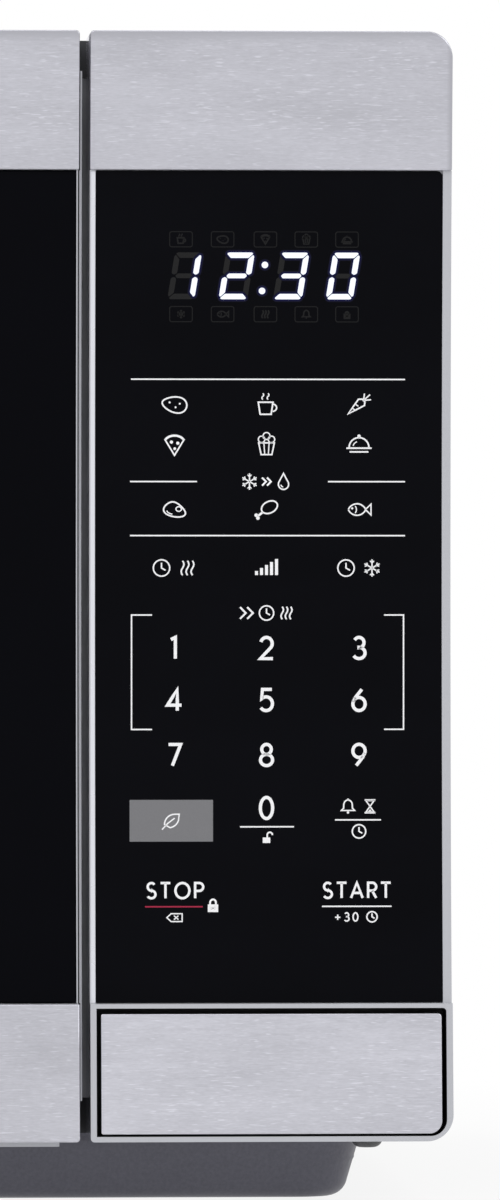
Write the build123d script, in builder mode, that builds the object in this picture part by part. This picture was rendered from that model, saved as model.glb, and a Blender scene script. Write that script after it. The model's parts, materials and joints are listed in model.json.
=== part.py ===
"""Countertop microwave oven with a push-button door, in millimetres.

The front faces -Y, +X is to the right of someone facing it, and +Z is up. The origin lies on the surface
that the feet stand on, below the middle of the oven's box.
"""

import os
from math import cos, radians, sin, sqrt

from build123d import *

os.makedirs("parts", exist_ok=True)

# Overall sizes
overall_width = 513.0
overall_depth = 412.0
overall_height = 312.0

# Fascia: the door and the control panel share one hollow front
panel_width = 95.6
door_gap = 2.8
band_height = 36.6
band_foot = 36.2
front_sag = 8.0
top_step = 1.0
bottom_step = 3.6
outer_radius = 7.0
inner_radius = 1.0
fascia_depth = 34.0
wall = 1.8
front_wall = 2.0
strip_sheet = 1.0
strip_return = 14.0
shell = wall + strip_sheet

# Case
foot_height = 2.0
pan_drop = 17.6
case_sheet = 1.0
case_inset = 1.0
case_radius = 5.0
flange_width = 10.0
sheet_clearance = 0.3
spacer_height = 6.0
door_clearance = 1.0

# Oven cavity
cavity_left_margin = 26.5
cavity_right_margin = 40.1
cavity_floor_margin = 26.4
cavity_ceiling_margin = 44.0
cavity_back_margin = 21.0
cavity_sheet = 1.0
cavity_radius = 7.0

# Planes and edges that the sizes above give
left = -overall_width / 2
right = overall_width / 2
fascia_front = -overall_depth / 2
fascia_low = foot_height + pan_drop
fascia_high = overall_height
mid_height = (fascia_low + fascia_high) / 2
half_height = (fascia_high - fascia_low) / 2
front_radius = (half_height**2 + front_sag**2) / (2 * front_sag)
hollow_front = fascia_front + bottom_step + front_sag
band_low = fascia_low + band_foot
band_high = fascia_high - band_height

case_front = fascia_front + fascia_depth
case_back = overall_depth / 2 - spacer_height
case_left = left + case_inset
case_right = right - case_inset
case_low = fascia_low
case_high = fascia_high - case_inset
plate_front = case_front + case_sheet
plate_back = plate_front + case_sheet
inside_left = case_left + case_sheet + sheet_clearance
inside_right = case_right - case_sheet - sheet_clearance
inside_low = case_low + case_sheet + sheet_clearance
inside_high = case_high - case_sheet - sheet_clearance
inside_radius = case_radius - case_sheet - sheet_clearance
inside_back = case_back - case_sheet

panel_left = right - panel_width
door_right = panel_left - door_gap
door_width = door_right - left
door_back = case_front - door_clearance

cavity_left = left + cavity_left_margin
cavity_right = door_right - cavity_right_margin
cavity_low = fascia_low + cavity_floor_margin
cavity_high = fascia_high - cavity_ceiling_margin
cavity_back = case_back - cavity_back_margin
cavity_width = cavity_right - cavity_left
cavity_depth = cavity_back - plate_back
cavity_x = (cavity_left + cavity_right) / 2
cavity_y = (plate_back + cavity_back) / 2
cavity_z = (cavity_low + cavity_high) / 2
bay_left = cavity_right + cavity_sheet
through = 20.0


def span_box(x, y, z, mode=Mode.ADD):
    """Add a box to the part being built, given its low and high ends along each axis."""
    with Locations(((x[0] + x[1]) / 2, (y[0] + y[1]) / 2, (z[0] + z[1]) / 2)):
        Box(x[1] - x[0], y[1] - y[0], z[1] - z[0], mode=mode)


def rod(start, direction, radius, length, mode=Mode.ADD):
    """Add a round rod that starts at a point and runs along a direction."""
    with Locations(Plane(origin=start, z_dir=direction)):
        Cylinder(radius, length, align=(Align.CENTER, Align.CENTER, Align.MIN), mode=mode)


def front_y(z, proud=0.0):
    """Depth of the hollow front at a height, moved forward by proud."""
    centre = hollow_front - front_radius
    return centre + sqrt(front_radius**2 - (z - mid_height) ** 2) - proud


def front_arc(z_low, z_high, proud):
    """Three points of the hollow front, from a low height to a high one."""
    heights = (z_low, (z_low + z_high) / 2, z_high)
    return [(front_y(z, proud), z) for z in heights]


def side_profile(x, z_low, z_high, y_back, proud):
    """Side profile from the hollow front back to an upright plane."""
    with BuildSketch(Plane.YZ.offset(x)) as profile:
        with BuildLine():
            arc = front_arc(z_low, z_high, proud)
            ThreePointArc(*arc)
            Polyline(arc[2], (y_back, z_high), (y_back, z_low), arc[0])
        make_face()
    return profile.sketch


def skin_profile(x, z_low, z_high, proud, thickness):
    """Side profile of a sheet that follows the hollow front."""
    with BuildSketch(Plane.YZ.offset(x)) as profile:
        with BuildLine():
            outer = front_arc(z_low, z_high, proud)
            inner = front_arc(z_low, z_high, proud - thickness)
            ThreePointArc(*outer)
            Line(outer[2], inner[2])
            ThreePointArc(*inner)
            Line(inner[0], outer[0])
        make_face()
    return profile.sketch


def outline(y, x, z, radii):
    """Front view outline with its own radius at each corner: low left, high left, low right, high right."""
    with BuildSketch(Plane.XZ.offset(-y)) as view:
        with Locations(((x[0] + x[1]) / 2, (z[0] + z[1]) / 2)):
            Rectangle(x[1] - x[0], z[1] - z[0])
        for side, corner_radii in ((0, radii[:2]), (-1, radii[2:])):
            for end, radius in zip((0, -1), corner_radii):
                if radius > 0:
                    fillet(view.vertices().group_by(Axis.X)[side].sort_by(Axis.Y)[end], radius)
    return view.sketch


def fascia_block(x, z, y_back, proud, radii):
    """Solid block behind the hollow front, its corners rounded as in the front view outline."""
    corners = [(x[0], y_back, z[0]), (x[0], y_back, z[1]), (x[1], y_back, z[0]), (x[1], y_back, z[1])]
    with BuildPart() as block:
        extrude(side_profile(x[0], z[0], z[1], y_back, proud), amount=x[1] - x[0])
        for corner, radius in zip(corners, radii):
            if radius > 0:
                fillet(block.edges().filter_by(Axis.Y).sort_by_distance(corner)[0], radius)
    return block.part


# Base pan, with the tray-like drop that shows below the fascia
pan_side_inset = 20.2
pan_front_inset = 6.0
pan_back_inset = 12.0
pan_taper = 16.5
pan_edge_radius = 5.5
pan_corner_radius = 18.0
pan_low = foot_height
foot_radius = 9.0
foot_stem_radius = 3.0
foot_inset_x = 66.0
foot_inset_front = 90.0
foot_inset_back = 52.0
hole_clearance = 0.1
pan_left = left + pan_side_inset
pan_right = right - pan_side_inset
pan_front = case_front + pan_front_inset
pan_back = case_back - pan_back_inset
pan_x = (pan_left + pan_right) / 2
pan_y = (pan_front + pan_back) / 2
pan_depth = case_low + case_sheet - pan_low
foot_places = [
    (x, y)
    for x in (left + foot_inset_x, right - foot_inset_x)
    for y in (fascia_front + foot_inset_front, case_back - foot_inset_back)
]
bumper_radius = 4.2
bumper_height = 4.0
bumper_inset_x = 19.9
bumper_inset_y = 10.8
bumper_edge = 2.4
bumper_stem_radius = 1.6
bumper_stem = 3.0
bumper_places = [(x, case_front + bumper_inset_y) for x in (left + bumper_inset_x, right - bumper_inset_x)]
upstand_left = case_left + flange_width + sheet_clearance
upstand_right = case_right - flange_width - sheet_clearance
upstand_high = case_low + flange_width
pan_slot_length = 26.0
pan_slot_width = 3.0
pan_slot_count = 8
pan_slot_pitch = 8.0
pan_slot_inset_x = 62.0
pan_slot_inset_y = 90.0

# Hinge: tongues of two brackets reach into the door, and their pins carry it
axis_inset = 8.0
axis_forward = 10.5
tongue_sheet = 2.0
tongue_gap = 1.4
tongue_half_width = 5.5
tongue_nose = 4.5
pin_radius = 2.5
pin_running_gap = 0.05
pin_length = 5.0
leaf_height = 24.0
leaf_width = 20.0
slot_clearance = 0.7
hinge_x = left + axis_inset
hinge_y = case_front - axis_forward
low_tongue = fascia_low + shell + tongue_gap
high_tongue = fascia_high - shell - tongue_gap - tongue_sheet
tongue_levels = (low_tongue, high_tongue)
hinge_screw_radius = 1.5
hinge_screw_head = 3.2
hinge_screw_head_height = 0.8
hinge_screw_length = 5.0
hinge_screw_inset = 5.0
leaf_right = hinge_x + leaf_width - tongue_half_width
low_leaf = (low_tongue, low_tongue + leaf_height)
high_leaf = (high_tongue + tongue_sheet - leaf_height, high_tongue + tongue_sheet)
low_screw = low_leaf[1] - hinge_screw_inset
high_screw = high_leaf[0] + hinge_screw_inset
hinge_screw_x = leaf_right - hinge_screw_inset
hinge_screw_levels = (low_screw, high_screw)
tongue_slot_half = tongue_half_width + slot_clearance
tongue_slot = (hinge_x - tongue_slot_half, hinge_x + tongue_slot_half)


def pan_block(inset, depth):
    """Solid drop of the pan below the flange, drafted, with a rounded lower edge."""
    with BuildPart() as block:
        with BuildSketch(Plane.XY.offset(case_low + case_sheet)):
            with Locations((pan_x, pan_y)):
                RectangleRounded(pan_right - pan_left - 2 * inset, pan_back - pan_front - 2 * inset,
                                 pan_corner_radius - inset)
        extrude(amount=-depth, taper=pan_taper)
        fillet(block.faces().sort_by(Axis.Z)[0].edges(), pan_edge_radius - inset)
    return block.part


pan_outside = pan_block(0, pan_depth)
pan_inside = pan_block(case_sheet, pan_depth - case_sheet)

with BuildPart() as base_plate:
    span_box((inside_left, inside_right), (plate_back, inside_back), (case_low, case_low + case_sheet))
    span_box((upstand_left, upstand_right), (case_front, plate_back), (case_low, case_low + case_sheet))
    span_box((upstand_left, upstand_right), (case_front, plate_front), (case_low, upstand_high))
    add(pan_outside)
    add(pan_inside, mode=Mode.SUBTRACT)
    with Locations([(x, y, pan_low + case_sheet) for x, y in foot_places]):
        Hole(foot_stem_radius + hole_clearance)
    with Locations([(x, y, case_low + case_sheet) for x, y in bumper_places]):
        Hole(bumper_stem_radius + hole_clearance)
    with BuildSketch(Plane.XY.offset(pan_low + case_sheet)):
        with Locations((right - pan_slot_inset_x, case_back - pan_slot_inset_y)):
            with GridLocations(0, pan_slot_pitch, 1, pan_slot_count):
                SlotOverall(pan_slot_length, pan_slot_width)
    extrude(amount=-2 * case_sheet, mode=Mode.SUBTRACT)
    span_box(tongue_slot, (case_front - through, plate_back),
             (low_tongue - slot_clearance, low_tongue + tongue_sheet + slot_clearance), mode=Mode.SUBTRACT)
base_plate.part.label = "base_plate"
export_step(base_plate.part, "parts/base_plate.step")

# Feet and the small bumpers beside the pan
foot_head_radius = 4.4
foot_head = 1.6
foot_edge = 0.8
with BuildPart() as feet:
    for x, y in foot_places:
        rod((x, y, 0), (0, 0, 1), foot_radius, foot_height)
        rod((x, y, foot_height), (0, 0, 1), foot_stem_radius, case_sheet)
        rod((x, y, foot_height + case_sheet), (0, 0, 1), foot_head_radius, foot_head)
    fillet(feet.edges().filter_by(GeomType.CIRCLE).group_by(Axis.Z)[0], foot_edge)
feet.part.label = "feet"
export_step(feet.part, "parts/feet.step")

with BuildPart() as front_bumpers:
    for x, y in bumper_places:
        rod((x, y, case_low - bumper_height), (0, 0, 1), bumper_radius, bumper_height)
        rod((x, y, case_low), (0, 0, 1), bumper_stem_radius, bumper_stem)
    fillet(front_bumpers.edges().filter_by(GeomType.CIRCLE).group_by(Axis.Z)[0], bumper_edge)
front_bumpers.part.label = "front_bumpers"
export_step(front_bumpers.part, "parts/front_bumpers.step")

# Outer wrap: one bent sheet over both sides and the top, with a return flange round the front
vent_length = 16.0
vent_width = 2.6
vent_pitch_along = 22.0
vent_pitch_up = 6.5
left_vent_columns = 3
left_vent_rows = 12
right_vent_columns = 4
right_vent_rows = 16
vent_back_inset = 62.0
vent_low_inset = 96.0
top_vent_columns = 4
top_vent_rows = 9
top_vent_pitch = 24.0
top_vent_gap = 7.0
top_vent_inset_x = 66.0
top_vent_inset_y = 64.0

with BuildPart() as outer_wrap:
    case_radii = (0, case_radius, 0, case_radius)
    shell_radii = (0, case_radius - case_sheet, 0, case_radius - case_sheet)
    extrude(outline(case_front, (case_left, case_right), (case_low, case_high), case_radii),
            amount=case_front - case_back)
    extrude(outline(plate_front, (case_left + case_sheet, case_right - case_sheet),
                    (case_low - case_sheet, case_high - case_sheet), shell_radii),
            amount=plate_front - case_back, mode=Mode.SUBTRACT)
    span_box((case_left + flange_width, case_right - flange_width), (case_front - case_sheet, plate_front),
             (case_low - case_sheet, case_high - flange_width), mode=Mode.SUBTRACT)
    for level in tongue_levels:
        span_box(tongue_slot, (case_front - through, plate_front),
                 (level - slot_clearance, level + tongue_sheet + slot_clearance), mode=Mode.SUBTRACT)
    with BuildSketch(Plane.YZ.offset(case_left)):
        with Locations((case_back - vent_back_inset, case_low + vent_low_inset)):
            with GridLocations(vent_pitch_along, vent_pitch_up, left_vent_columns, left_vent_rows):
                SlotOverall(vent_length, vent_width)
    extrude(amount=2 * case_sheet, mode=Mode.SUBTRACT)
    with BuildSketch(Plane.YZ.offset(case_right - 2 * case_sheet)):
        with Locations((case_back - vent_back_inset, case_low + vent_low_inset)):
            with GridLocations(vent_pitch_along, vent_pitch_up, right_vent_columns, right_vent_rows):
                SlotOverall(vent_length, vent_width)
    extrude(amount=3 * case_sheet, mode=Mode.SUBTRACT)
    with BuildSketch(Plane.XY.offset(case_high + case_sheet)):
        with Locations((case_left + top_vent_inset_x, case_back - top_vent_inset_y)):
            with GridLocations(top_vent_pitch, top_vent_gap, top_vent_columns, top_vent_rows):
                SlotOverall(vent_length, vent_width)
    extrude(amount=-3 * case_sheet, mode=Mode.SUBTRACT)
outer_wrap.part.label = "outer_wrap"
export_step(outer_wrap.part, "parts/outer_wrap.step")

# Cavity shell, open at the front
lamp_setback = 92.0
lamp_drop = 34.0
lamp_hole_radius = 1.8
lamp_hole_pitch = 6.0
lamp_columns = 5
lamp_rows = 4
guide_back_inset = 98.0
guide_rise = 4.0
guide_width = 84.0
guide_height = 104.0
guide_depth = 42.0
aperture_width = 72.0
aperture_height = 46.0
exhaust_radius = 2.2
exhaust_pitch = 8.0
exhaust_columns = 7
exhaust_rows = 4
exhaust_inset_x = 60.0
exhaust_inset_y = 60.0
shaft_hole_radius = 7.0
lamp_y = plate_back + lamp_setback
lamp_z = cavity_high - lamp_drop
guide_y = case_back - guide_back_inset
guide_z = cavity_z + guide_rise
cavity_radii = (cavity_radius,) * 4

with BuildPart() as cavity_shell:
    outer_x = (cavity_left - cavity_sheet, cavity_right + cavity_sheet)
    outer_z = (cavity_low - cavity_sheet, cavity_high + cavity_sheet)
    extrude(outline(plate_back, outer_x, outer_z, (cavity_radius + cavity_sheet,) * 4),
            amount=-(cavity_depth + cavity_sheet))
    extrude(outline(plate_back, (cavity_left, cavity_right), (cavity_low, cavity_high), cavity_radii),
            amount=-cavity_depth, mode=Mode.SUBTRACT)
    rod((cavity_x, cavity_y, cavity_low - 2 * cavity_sheet), (0, 0, 1), shaft_hole_radius, 4 * cavity_sheet,
        mode=Mode.SUBTRACT)
    span_box((cavity_right - cavity_sheet, cavity_right + 2 * cavity_sheet),
             (guide_y - aperture_width / 2, guide_y + aperture_width / 2),
             (guide_z - aperture_height / 2, guide_z + aperture_height / 2), mode=Mode.SUBTRACT)
    with BuildSketch(Plane.YZ.offset(cavity_right - cavity_sheet)):
        with Locations((lamp_y, lamp_z)):
            with GridLocations(lamp_hole_pitch, lamp_hole_pitch, lamp_columns, lamp_rows):
                Circle(lamp_hole_radius)
    extrude(amount=3 * cavity_sheet, mode=Mode.SUBTRACT)
    with BuildSketch(Plane.XY.offset(cavity_high - cavity_sheet)):
        with Locations((cavity_left + exhaust_inset_x, cavity_back - exhaust_inset_y)):
            with GridLocations(exhaust_pitch, exhaust_pitch, exhaust_columns, exhaust_rows):
                Circle(exhaust_radius)
    extrude(amount=3 * cavity_sheet, mode=Mode.SUBTRACT)
cavity_shell.part.label = "cavity_shell"
export_step(cavity_shell.part, "parts/cavity_shell.step")

# Front plate round the cavity's mouth, with slots for the latch hooks and a cut-out behind the panel
hook_width = 4.0
hook_inset = 6.6
hook_swing = 1.5
hook_drop = 3.2
hook_height = 14.0
hook_reach = 25.0
hook_lift = 3.5
hook_low_inset = 62.0
hook_high_inset = 52.0
cut_left_inset = 5.0
cut_right_inset = 14.0
cut_low_inset = 6.0
cut_high_inset = 32.0
low_hook = fascia_low + hook_low_inset
high_hook = fascia_high - hook_high_inset
hook_levels = (low_hook, high_hook)
hook_right = door_right - hook_inset
hook_left = hook_right - hook_width
hook_slot = (hook_left - hook_swing, hook_right + 2 * hook_swing)
cut_x = (panel_left + cut_left_inset, right - cut_right_inset)
cut_z = (fascia_low + cut_low_inset, fascia_high - cut_high_inset)

with BuildPart() as front_plate:
    extrude(outline(plate_front, (inside_left, inside_right), (inside_low, inside_high),
                    (0, inside_radius, 0, inside_radius)), amount=-case_sheet)
    extrude(outline(plate_front, (cavity_left, cavity_right), (cavity_low, cavity_high), cavity_radii),
            amount=-case_sheet, mode=Mode.SUBTRACT)
    span_box(cut_x, (case_front, plate_back + case_sheet), cut_z, mode=Mode.SUBTRACT)
    for level in hook_levels:
        span_box(hook_slot, (case_front, plate_back + case_sheet),
                 (level - hook_drop - hook_swing, level + hook_height + hook_lift + hook_swing),
                 mode=Mode.SUBTRACT)
    for level in tongue_levels:
        span_box(tongue_slot, (case_front, plate_back + case_sheet),
                 (level - slot_clearance, level + tongue_sheet + slot_clearance), mode=Mode.SUBTRACT)
    for level in hinge_screw_levels:
        rod((hinge_screw_x, case_front, level), (0, 1, 0), hinge_screw_radius, through, mode=Mode.SUBTRACT)
front_plate.part.label = "front_plate"
export_step(front_plate.part, "parts/front_plate.step")

# Hinge brackets: a leaf behind the front plate, a tongue through it and an upright pin
with BuildPart() as hinge_bracket_lower:
    span_box((hinge_x - tongue_half_width, hinge_x + tongue_half_width),
             (hinge_y - tongue_nose, plate_back + tongue_sheet), (low_tongue, low_tongue + tongue_sheet))
    span_box((hinge_x - tongue_half_width, leaf_right), (plate_back, plate_back + tongue_sheet), low_leaf)
    rod((hinge_x, hinge_y, low_tongue), (0, 0, 1), pin_radius, tongue_sheet + pin_length)
    rod((hinge_screw_x, plate_front, low_screw), (0, 1, 0), hinge_screw_radius, through, mode=Mode.SUBTRACT)
hinge_bracket_lower.part.label = "hinge_bracket_lower"
export_step(hinge_bracket_lower.part, "parts/hinge_bracket_lower.step")

with BuildPart() as hinge_bracket_upper:
    span_box((hinge_x - tongue_half_width, hinge_x + tongue_half_width),
             (hinge_y - tongue_nose, plate_back + tongue_sheet), (high_tongue, high_tongue + tongue_sheet))
    span_box((hinge_x - tongue_half_width, leaf_right), (plate_back, plate_back + tongue_sheet), high_leaf)
    rod((hinge_x, hinge_y, high_tongue + tongue_sheet), (0, 0, -1), pin_radius, tongue_sheet + pin_length)
    rod((hinge_screw_x, plate_front, high_screw), (0, 1, 0), hinge_screw_radius, through, mode=Mode.SUBTRACT)
hinge_bracket_upper.part.label = "hinge_bracket_upper"
export_step(hinge_bracket_upper.part, "parts/hinge_bracket_upper.step")

# Rear panel with its vents, cord inlet, stamped spacers and folded edge
rear_edge = 8.0
rear_slot_length = 24.0
rear_slot_width = 3.2
rear_slot_pitch_x = 7.0
rear_slot_pitch_z = 30.0
rear_slot_columns = 14
rear_slot_rows = 4
fan_rise = 112.0
fan_z = fascia_low + fan_rise
fan_x = (bay_left + inside_right) / 2
spacer_radius = 11.0
spacer_tip_radius = 7.0
spacer_inset_left = 112.0
spacer_inset_cavity = 6.0
spacer_inset_z = 46.0
spacer_places_x = (left + spacer_inset_left, cavity_right - spacer_inset_cavity)
spacer_places_z = (fascia_low + spacer_inset_z, fascia_high - spacer_inset_z)
inlet_radius = 9.0
inlet_inset_x = 40.0
inlet_rise = 30.0
inlet_x = right - inlet_inset_x
inlet_z = fascia_low + inlet_rise
screw_radius = 1.6
screw_hole = screw_radius + hole_clearance
screw_inset = 5.0
rear_screw_x = (inside_left + screw_inset + case_sheet, 0.0, inside_right - screw_inset - case_sheet)
rear_screw_z = (inside_low + screw_inset, inside_high - screw_inset - case_sheet)

with BuildPart() as rear_panel:
    rear_fold = inside_back - rear_edge
    extrude(outline(rear_fold, (inside_left, inside_right), (inside_low, inside_high),
                    (0, inside_radius, 0, inside_radius)), amount=-(rear_edge + case_sheet))
    extrude(outline(rear_fold, (inside_left + case_sheet, inside_right - case_sheet),
                    (inside_low + case_sheet, inside_high - case_sheet),
                    (0, inside_radius - case_sheet, 0, inside_radius - case_sheet)),
            amount=-rear_edge, mode=Mode.SUBTRACT)
    for x in spacer_places_x:
        for z in spacer_places_z:
            with Locations(Plane(origin=(x, case_back, z), z_dir=(0, 1, 0))):
                Cone(spacer_radius, spacer_tip_radius, spacer_height,
                     align=(Align.CENTER, Align.CENTER, Align.MIN))
            with Locations(Plane(origin=(x, inside_back, z), z_dir=(0, 1, 0))):
                Cone(spacer_radius - case_sheet, spacer_tip_radius - case_sheet, spacer_height,
                     align=(Align.CENTER, Align.CENTER, Align.MIN), mode=Mode.SUBTRACT)
    with BuildSketch(Plane.XZ.offset(-inside_back)):
        with Locations((fan_x, fan_z)):
            with GridLocations(rear_slot_pitch_x, rear_slot_pitch_z, rear_slot_columns, rear_slot_rows):
                SlotOverall(rear_slot_length, rear_slot_width, rotation=90)
    extrude(amount=-case_sheet, mode=Mode.SUBTRACT)
    rod((inlet_x, inside_back, inlet_z), (0, 1, 0), inlet_radius, case_sheet, mode=Mode.SUBTRACT)
    for x in rear_screw_x:
        for z in rear_screw_z:
            rod((x, inside_back, z), (0, 1, 0), screw_hole, case_sheet, mode=Mode.SUBTRACT)
rear_panel.part.label = "rear_panel"
export_step(rear_panel.part, "parts/rear_panel.step")

# Cord inlet bush, a split snap bush with an open bore
bush_bore = 4.2
bush_flange = 12.0
bush_flange_height = 2.5
bush_tail = 6.0
bush_barb = 10.4
with BuildPart() as cord_inlet_bush:
    rod((inlet_x, case_back, inlet_z), (0, 1, 0), bush_flange, bush_flange_height)
    rod((inlet_x, inside_back, inlet_z), (0, 1, 0), inlet_radius - hole_clearance, case_sheet)
    rod((inlet_x, inside_back - bush_tail, inlet_z), (0, 1, 0), bush_barb, bush_tail)
    rod((inlet_x, inside_back - bush_tail, inlet_z), (0, 1, 0), bush_bore, through, mode=Mode.SUBTRACT)
    fillet(cord_inlet_bush.edges().filter_by(GeomType.CIRCLE).group_by(Axis.Y)[-1].sort_by(Axis.Z)[0],
           foot_edge)
cord_inlet_bush.part.label = "cord_inlet_bush"
export_step(cord_inlet_bush.part, "parts/cord_inlet_bush.step")

# Case screws in the rear panel, and the short ones that hold the hinge brackets
screw_head_radius = 3.8
screw_head_height = 2.0
screw_length = 5.0
with BuildPart() as case_screws:
    for x in rear_screw_x:
        for z in rear_screw_z:
            rod((x, case_back, z), (0, 1, 0), screw_head_radius, screw_head_height)
            rod((x, case_back, z), (0, -1, 0), screw_radius, screw_length)
    fillet(case_screws.edges().filter_by(GeomType.CIRCLE).group_by(Axis.Y)[-1], screw_head_height / 2)
case_screws.part.label = "case_screws"
export_step(case_screws.part, "parts/case_screws.step")

with BuildPart() as hinge_screws:
    for z in hinge_screw_levels:
        rod((hinge_screw_x, plate_front, z), (0, -1, 0), hinge_screw_head, hinge_screw_head_height)
        rod((hinge_screw_x, plate_front, z), (0, 1, 0), hinge_screw_radius - hole_clearance,
            hinge_screw_length)
hinge_screws.part.label = "hinge_screws"
export_step(hinge_screws.part, "parts/hinge_screws.step")

# Door frame: a moulded tray behind the glass and the two steel strips
door_x = (left, door_right)
strip_back = fascia_front + strip_return
glass_thickness = 3.0
glass_recess = 0.3
fit_gap = 0.1
glass_left_trim = 3.0
glass_right_trim = 0.8
glass_x = (left + glass_left_trim, door_right - glass_right_trim)
window_margin_x = 8.0
window_margin_z = 16.0
window_x = (cavity_left + window_margin_x, cavity_right - window_margin_x)
window_z = (cavity_low + window_margin_z, cavity_high - window_margin_z)
door_hollow = glass_recess + glass_thickness + front_wall
rear_step = 3.6
rear_step_width = 6.5
notch_forward = 7.5
guide_rib = 4.0
guide_wall = 1.5
guide_gap = 0.3
bar_depth = 6.0
bar_gap = 0.4
bar_front = hollow_front + door_hollow + bar_gap
bar_back = bar_front + bar_depth
bar_over = 10.0
bar_low = low_hook - bar_over
bar_high = high_hook + hook_height + bar_over
rib_inset = 38.0
rib_levels = (bar_low + rib_inset, (bar_low + bar_high) / 2, bar_high - rib_inset)
spring_length = 12.0
spring_seat = bar_high + spring_length
fascia_z = (fascia_low, fascia_high)
inner_left = left + shell
inner_door_right = door_right - shell
guide_left = hook_left - guide_gap - guide_wall
bead_reach = 0.8
bead_setback = 3.0
bead_depth = 4.0
bead_margin = 10.5
bead_z = (fascia_low + bead_margin, fascia_high - bead_margin)
lip_drop = 1.9
lip_depth = 6.0
lip_inset = 5.0
lip_x = (left + 2 * outer_radius, door_right - lip_inset)

core_radius = outer_radius - strip_sheet
core_x_span = (left + strip_sheet, door_right - strip_sheet)
low_core = fascia_block(core_x_span, (fascia_low + strip_sheet, band_low), strip_back,
                        bottom_step - strip_sheet, (core_radius, 0, 0, 0))
high_core = fascia_block(core_x_span, (band_high, fascia_high - strip_sheet), strip_back, 0,
                         (0, core_radius, 0, 0))

with BuildPart() as door_frame:
    extrude(outline(door_back, door_x, fascia_z, (outer_radius, outer_radius, inner_radius, inner_radius)),
            amount=door_back - strip_back)
    extrude(side_profile(left, band_low, band_high, strip_back, 0), amount=door_width)
    add(low_core)
    add(high_core)
    glass_seat = glass_recess + glass_thickness
    extrude(skin_profile(glass_x[0] - fit_gap, band_low, band_high, through, through + glass_seat),
            amount=glass_x[1] - glass_x[0] + 2 * fit_gap, mode=Mode.SUBTRACT)
    extrude(side_profile(inner_left, fascia_low + shell, fascia_high - shell, door_back, -door_hollow),
            amount=inner_door_right - inner_left, mode=Mode.SUBTRACT)
    span_box(window_x, (fascia_front, door_back), window_z, mode=Mode.SUBTRACT)
    span_box((left - through, left + rear_step_width), (door_back - rear_step, door_back + through),
             (fascia_low - through, fascia_high + through), mode=Mode.SUBTRACT)
    extrude(side_profile(door_right, bead_z[0], bead_z[1], strip_back + bead_depth,
                         -bead_setback), amount=bead_reach)
    span_box(lip_x, (strip_back, strip_back + lip_depth), (fascia_low - lip_drop, fascia_low))
    for level in tongue_levels:
        span_box((left - through, hinge_x), (hinge_y - notch_forward, door_back + through),
                 (level - slot_clearance, level + tongue_sheet + slot_clearance), mode=Mode.SUBTRACT)
    for level in rib_levels:
        span_box((guide_left, inner_door_right + fit_gap),
                 (bar_front - guide_gap - guide_wall, bar_back + guide_gap + guide_wall),
                 (level - guide_rib / 2, level + guide_rib / 2))
        span_box((hook_left - guide_gap, hook_right + guide_gap),
                 (bar_front - guide_gap, bar_back + guide_gap),
                 (level - guide_rib / 2, level + guide_rib / 2), mode=Mode.SUBTRACT)
    for base in (bar_low - guide_gap - guide_rib, spring_seat):
        span_box((guide_left, inner_door_right + fit_gap), (bar_front, bar_back), (base, base + guide_rib))
door_frame.part.label = "door_frame"
export_step(door_frame.part, "parts/door_frame.step")

with BuildPart() as door_glass:
    extrude(skin_profile(glass_x[0], band_low + fit_gap, band_high - fit_gap, -glass_recess,
                         glass_thickness), amount=glass_x[1] - glass_x[0])
door_glass.part.label = "door_glass"
export_step(door_glass.part, "parts/door_glass.step")

# Steel strips capped over the top and bottom of the door
high_cap = fascia_block(door_x, (band_high, fascia_high), strip_back, top_step,
                        (0, outer_radius, 0, inner_radius))
low_cap = fascia_block(door_x, (fascia_low, band_low), strip_back, bottom_step,
                       (outer_radius, 0, inner_radius, 0))
with BuildPart() as door_top_strip:
    add(high_cap)
    add(high_core, mode=Mode.SUBTRACT)
door_top_strip.part.label = "door_top_strip"
export_step(door_top_strip.part, "parts/door_top_strip.step")

with BuildPart() as door_bottom_strip:
    add(low_cap)
    add(low_core, mode=Mode.SUBTRACT)
door_bottom_strip.part.label = "door_bottom_strip"
export_step(door_bottom_strip.part, "parts/door_bottom_strip.step")

# Steel door pan with the choke channel round the window, and the ears that turn on the hinge pins
pan_sheet = 1.0
ear_gap = 0.5
ear_sheet = 2.0
ear_half = 4.5
choke_left_inset = 10.5
choke_right_inset = 14.1
choke_lap = 5.0
choke_cover_sheet = 1.4
seal_gap = 0.6
choke_front = hollow_front + door_hollow + guide_gap
cover_back = door_back - seal_gap
choke_back = cover_back - choke_cover_sheet
choke_x = (left + choke_left_inset, door_right - choke_right_inset)
choke_z = (low_tongue + tongue_sheet + ear_gap, high_tongue - ear_gap)
throat_x = (cavity_left - choke_lap, cavity_right + choke_lap)
throat_z = (cavity_low - choke_lap, cavity_high + choke_lap)
screen_x = (window_x[0] + choke_lap, window_x[1] - choke_lap)
screen_z = (window_z[0] + choke_lap, window_z[1] - choke_lap)

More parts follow.
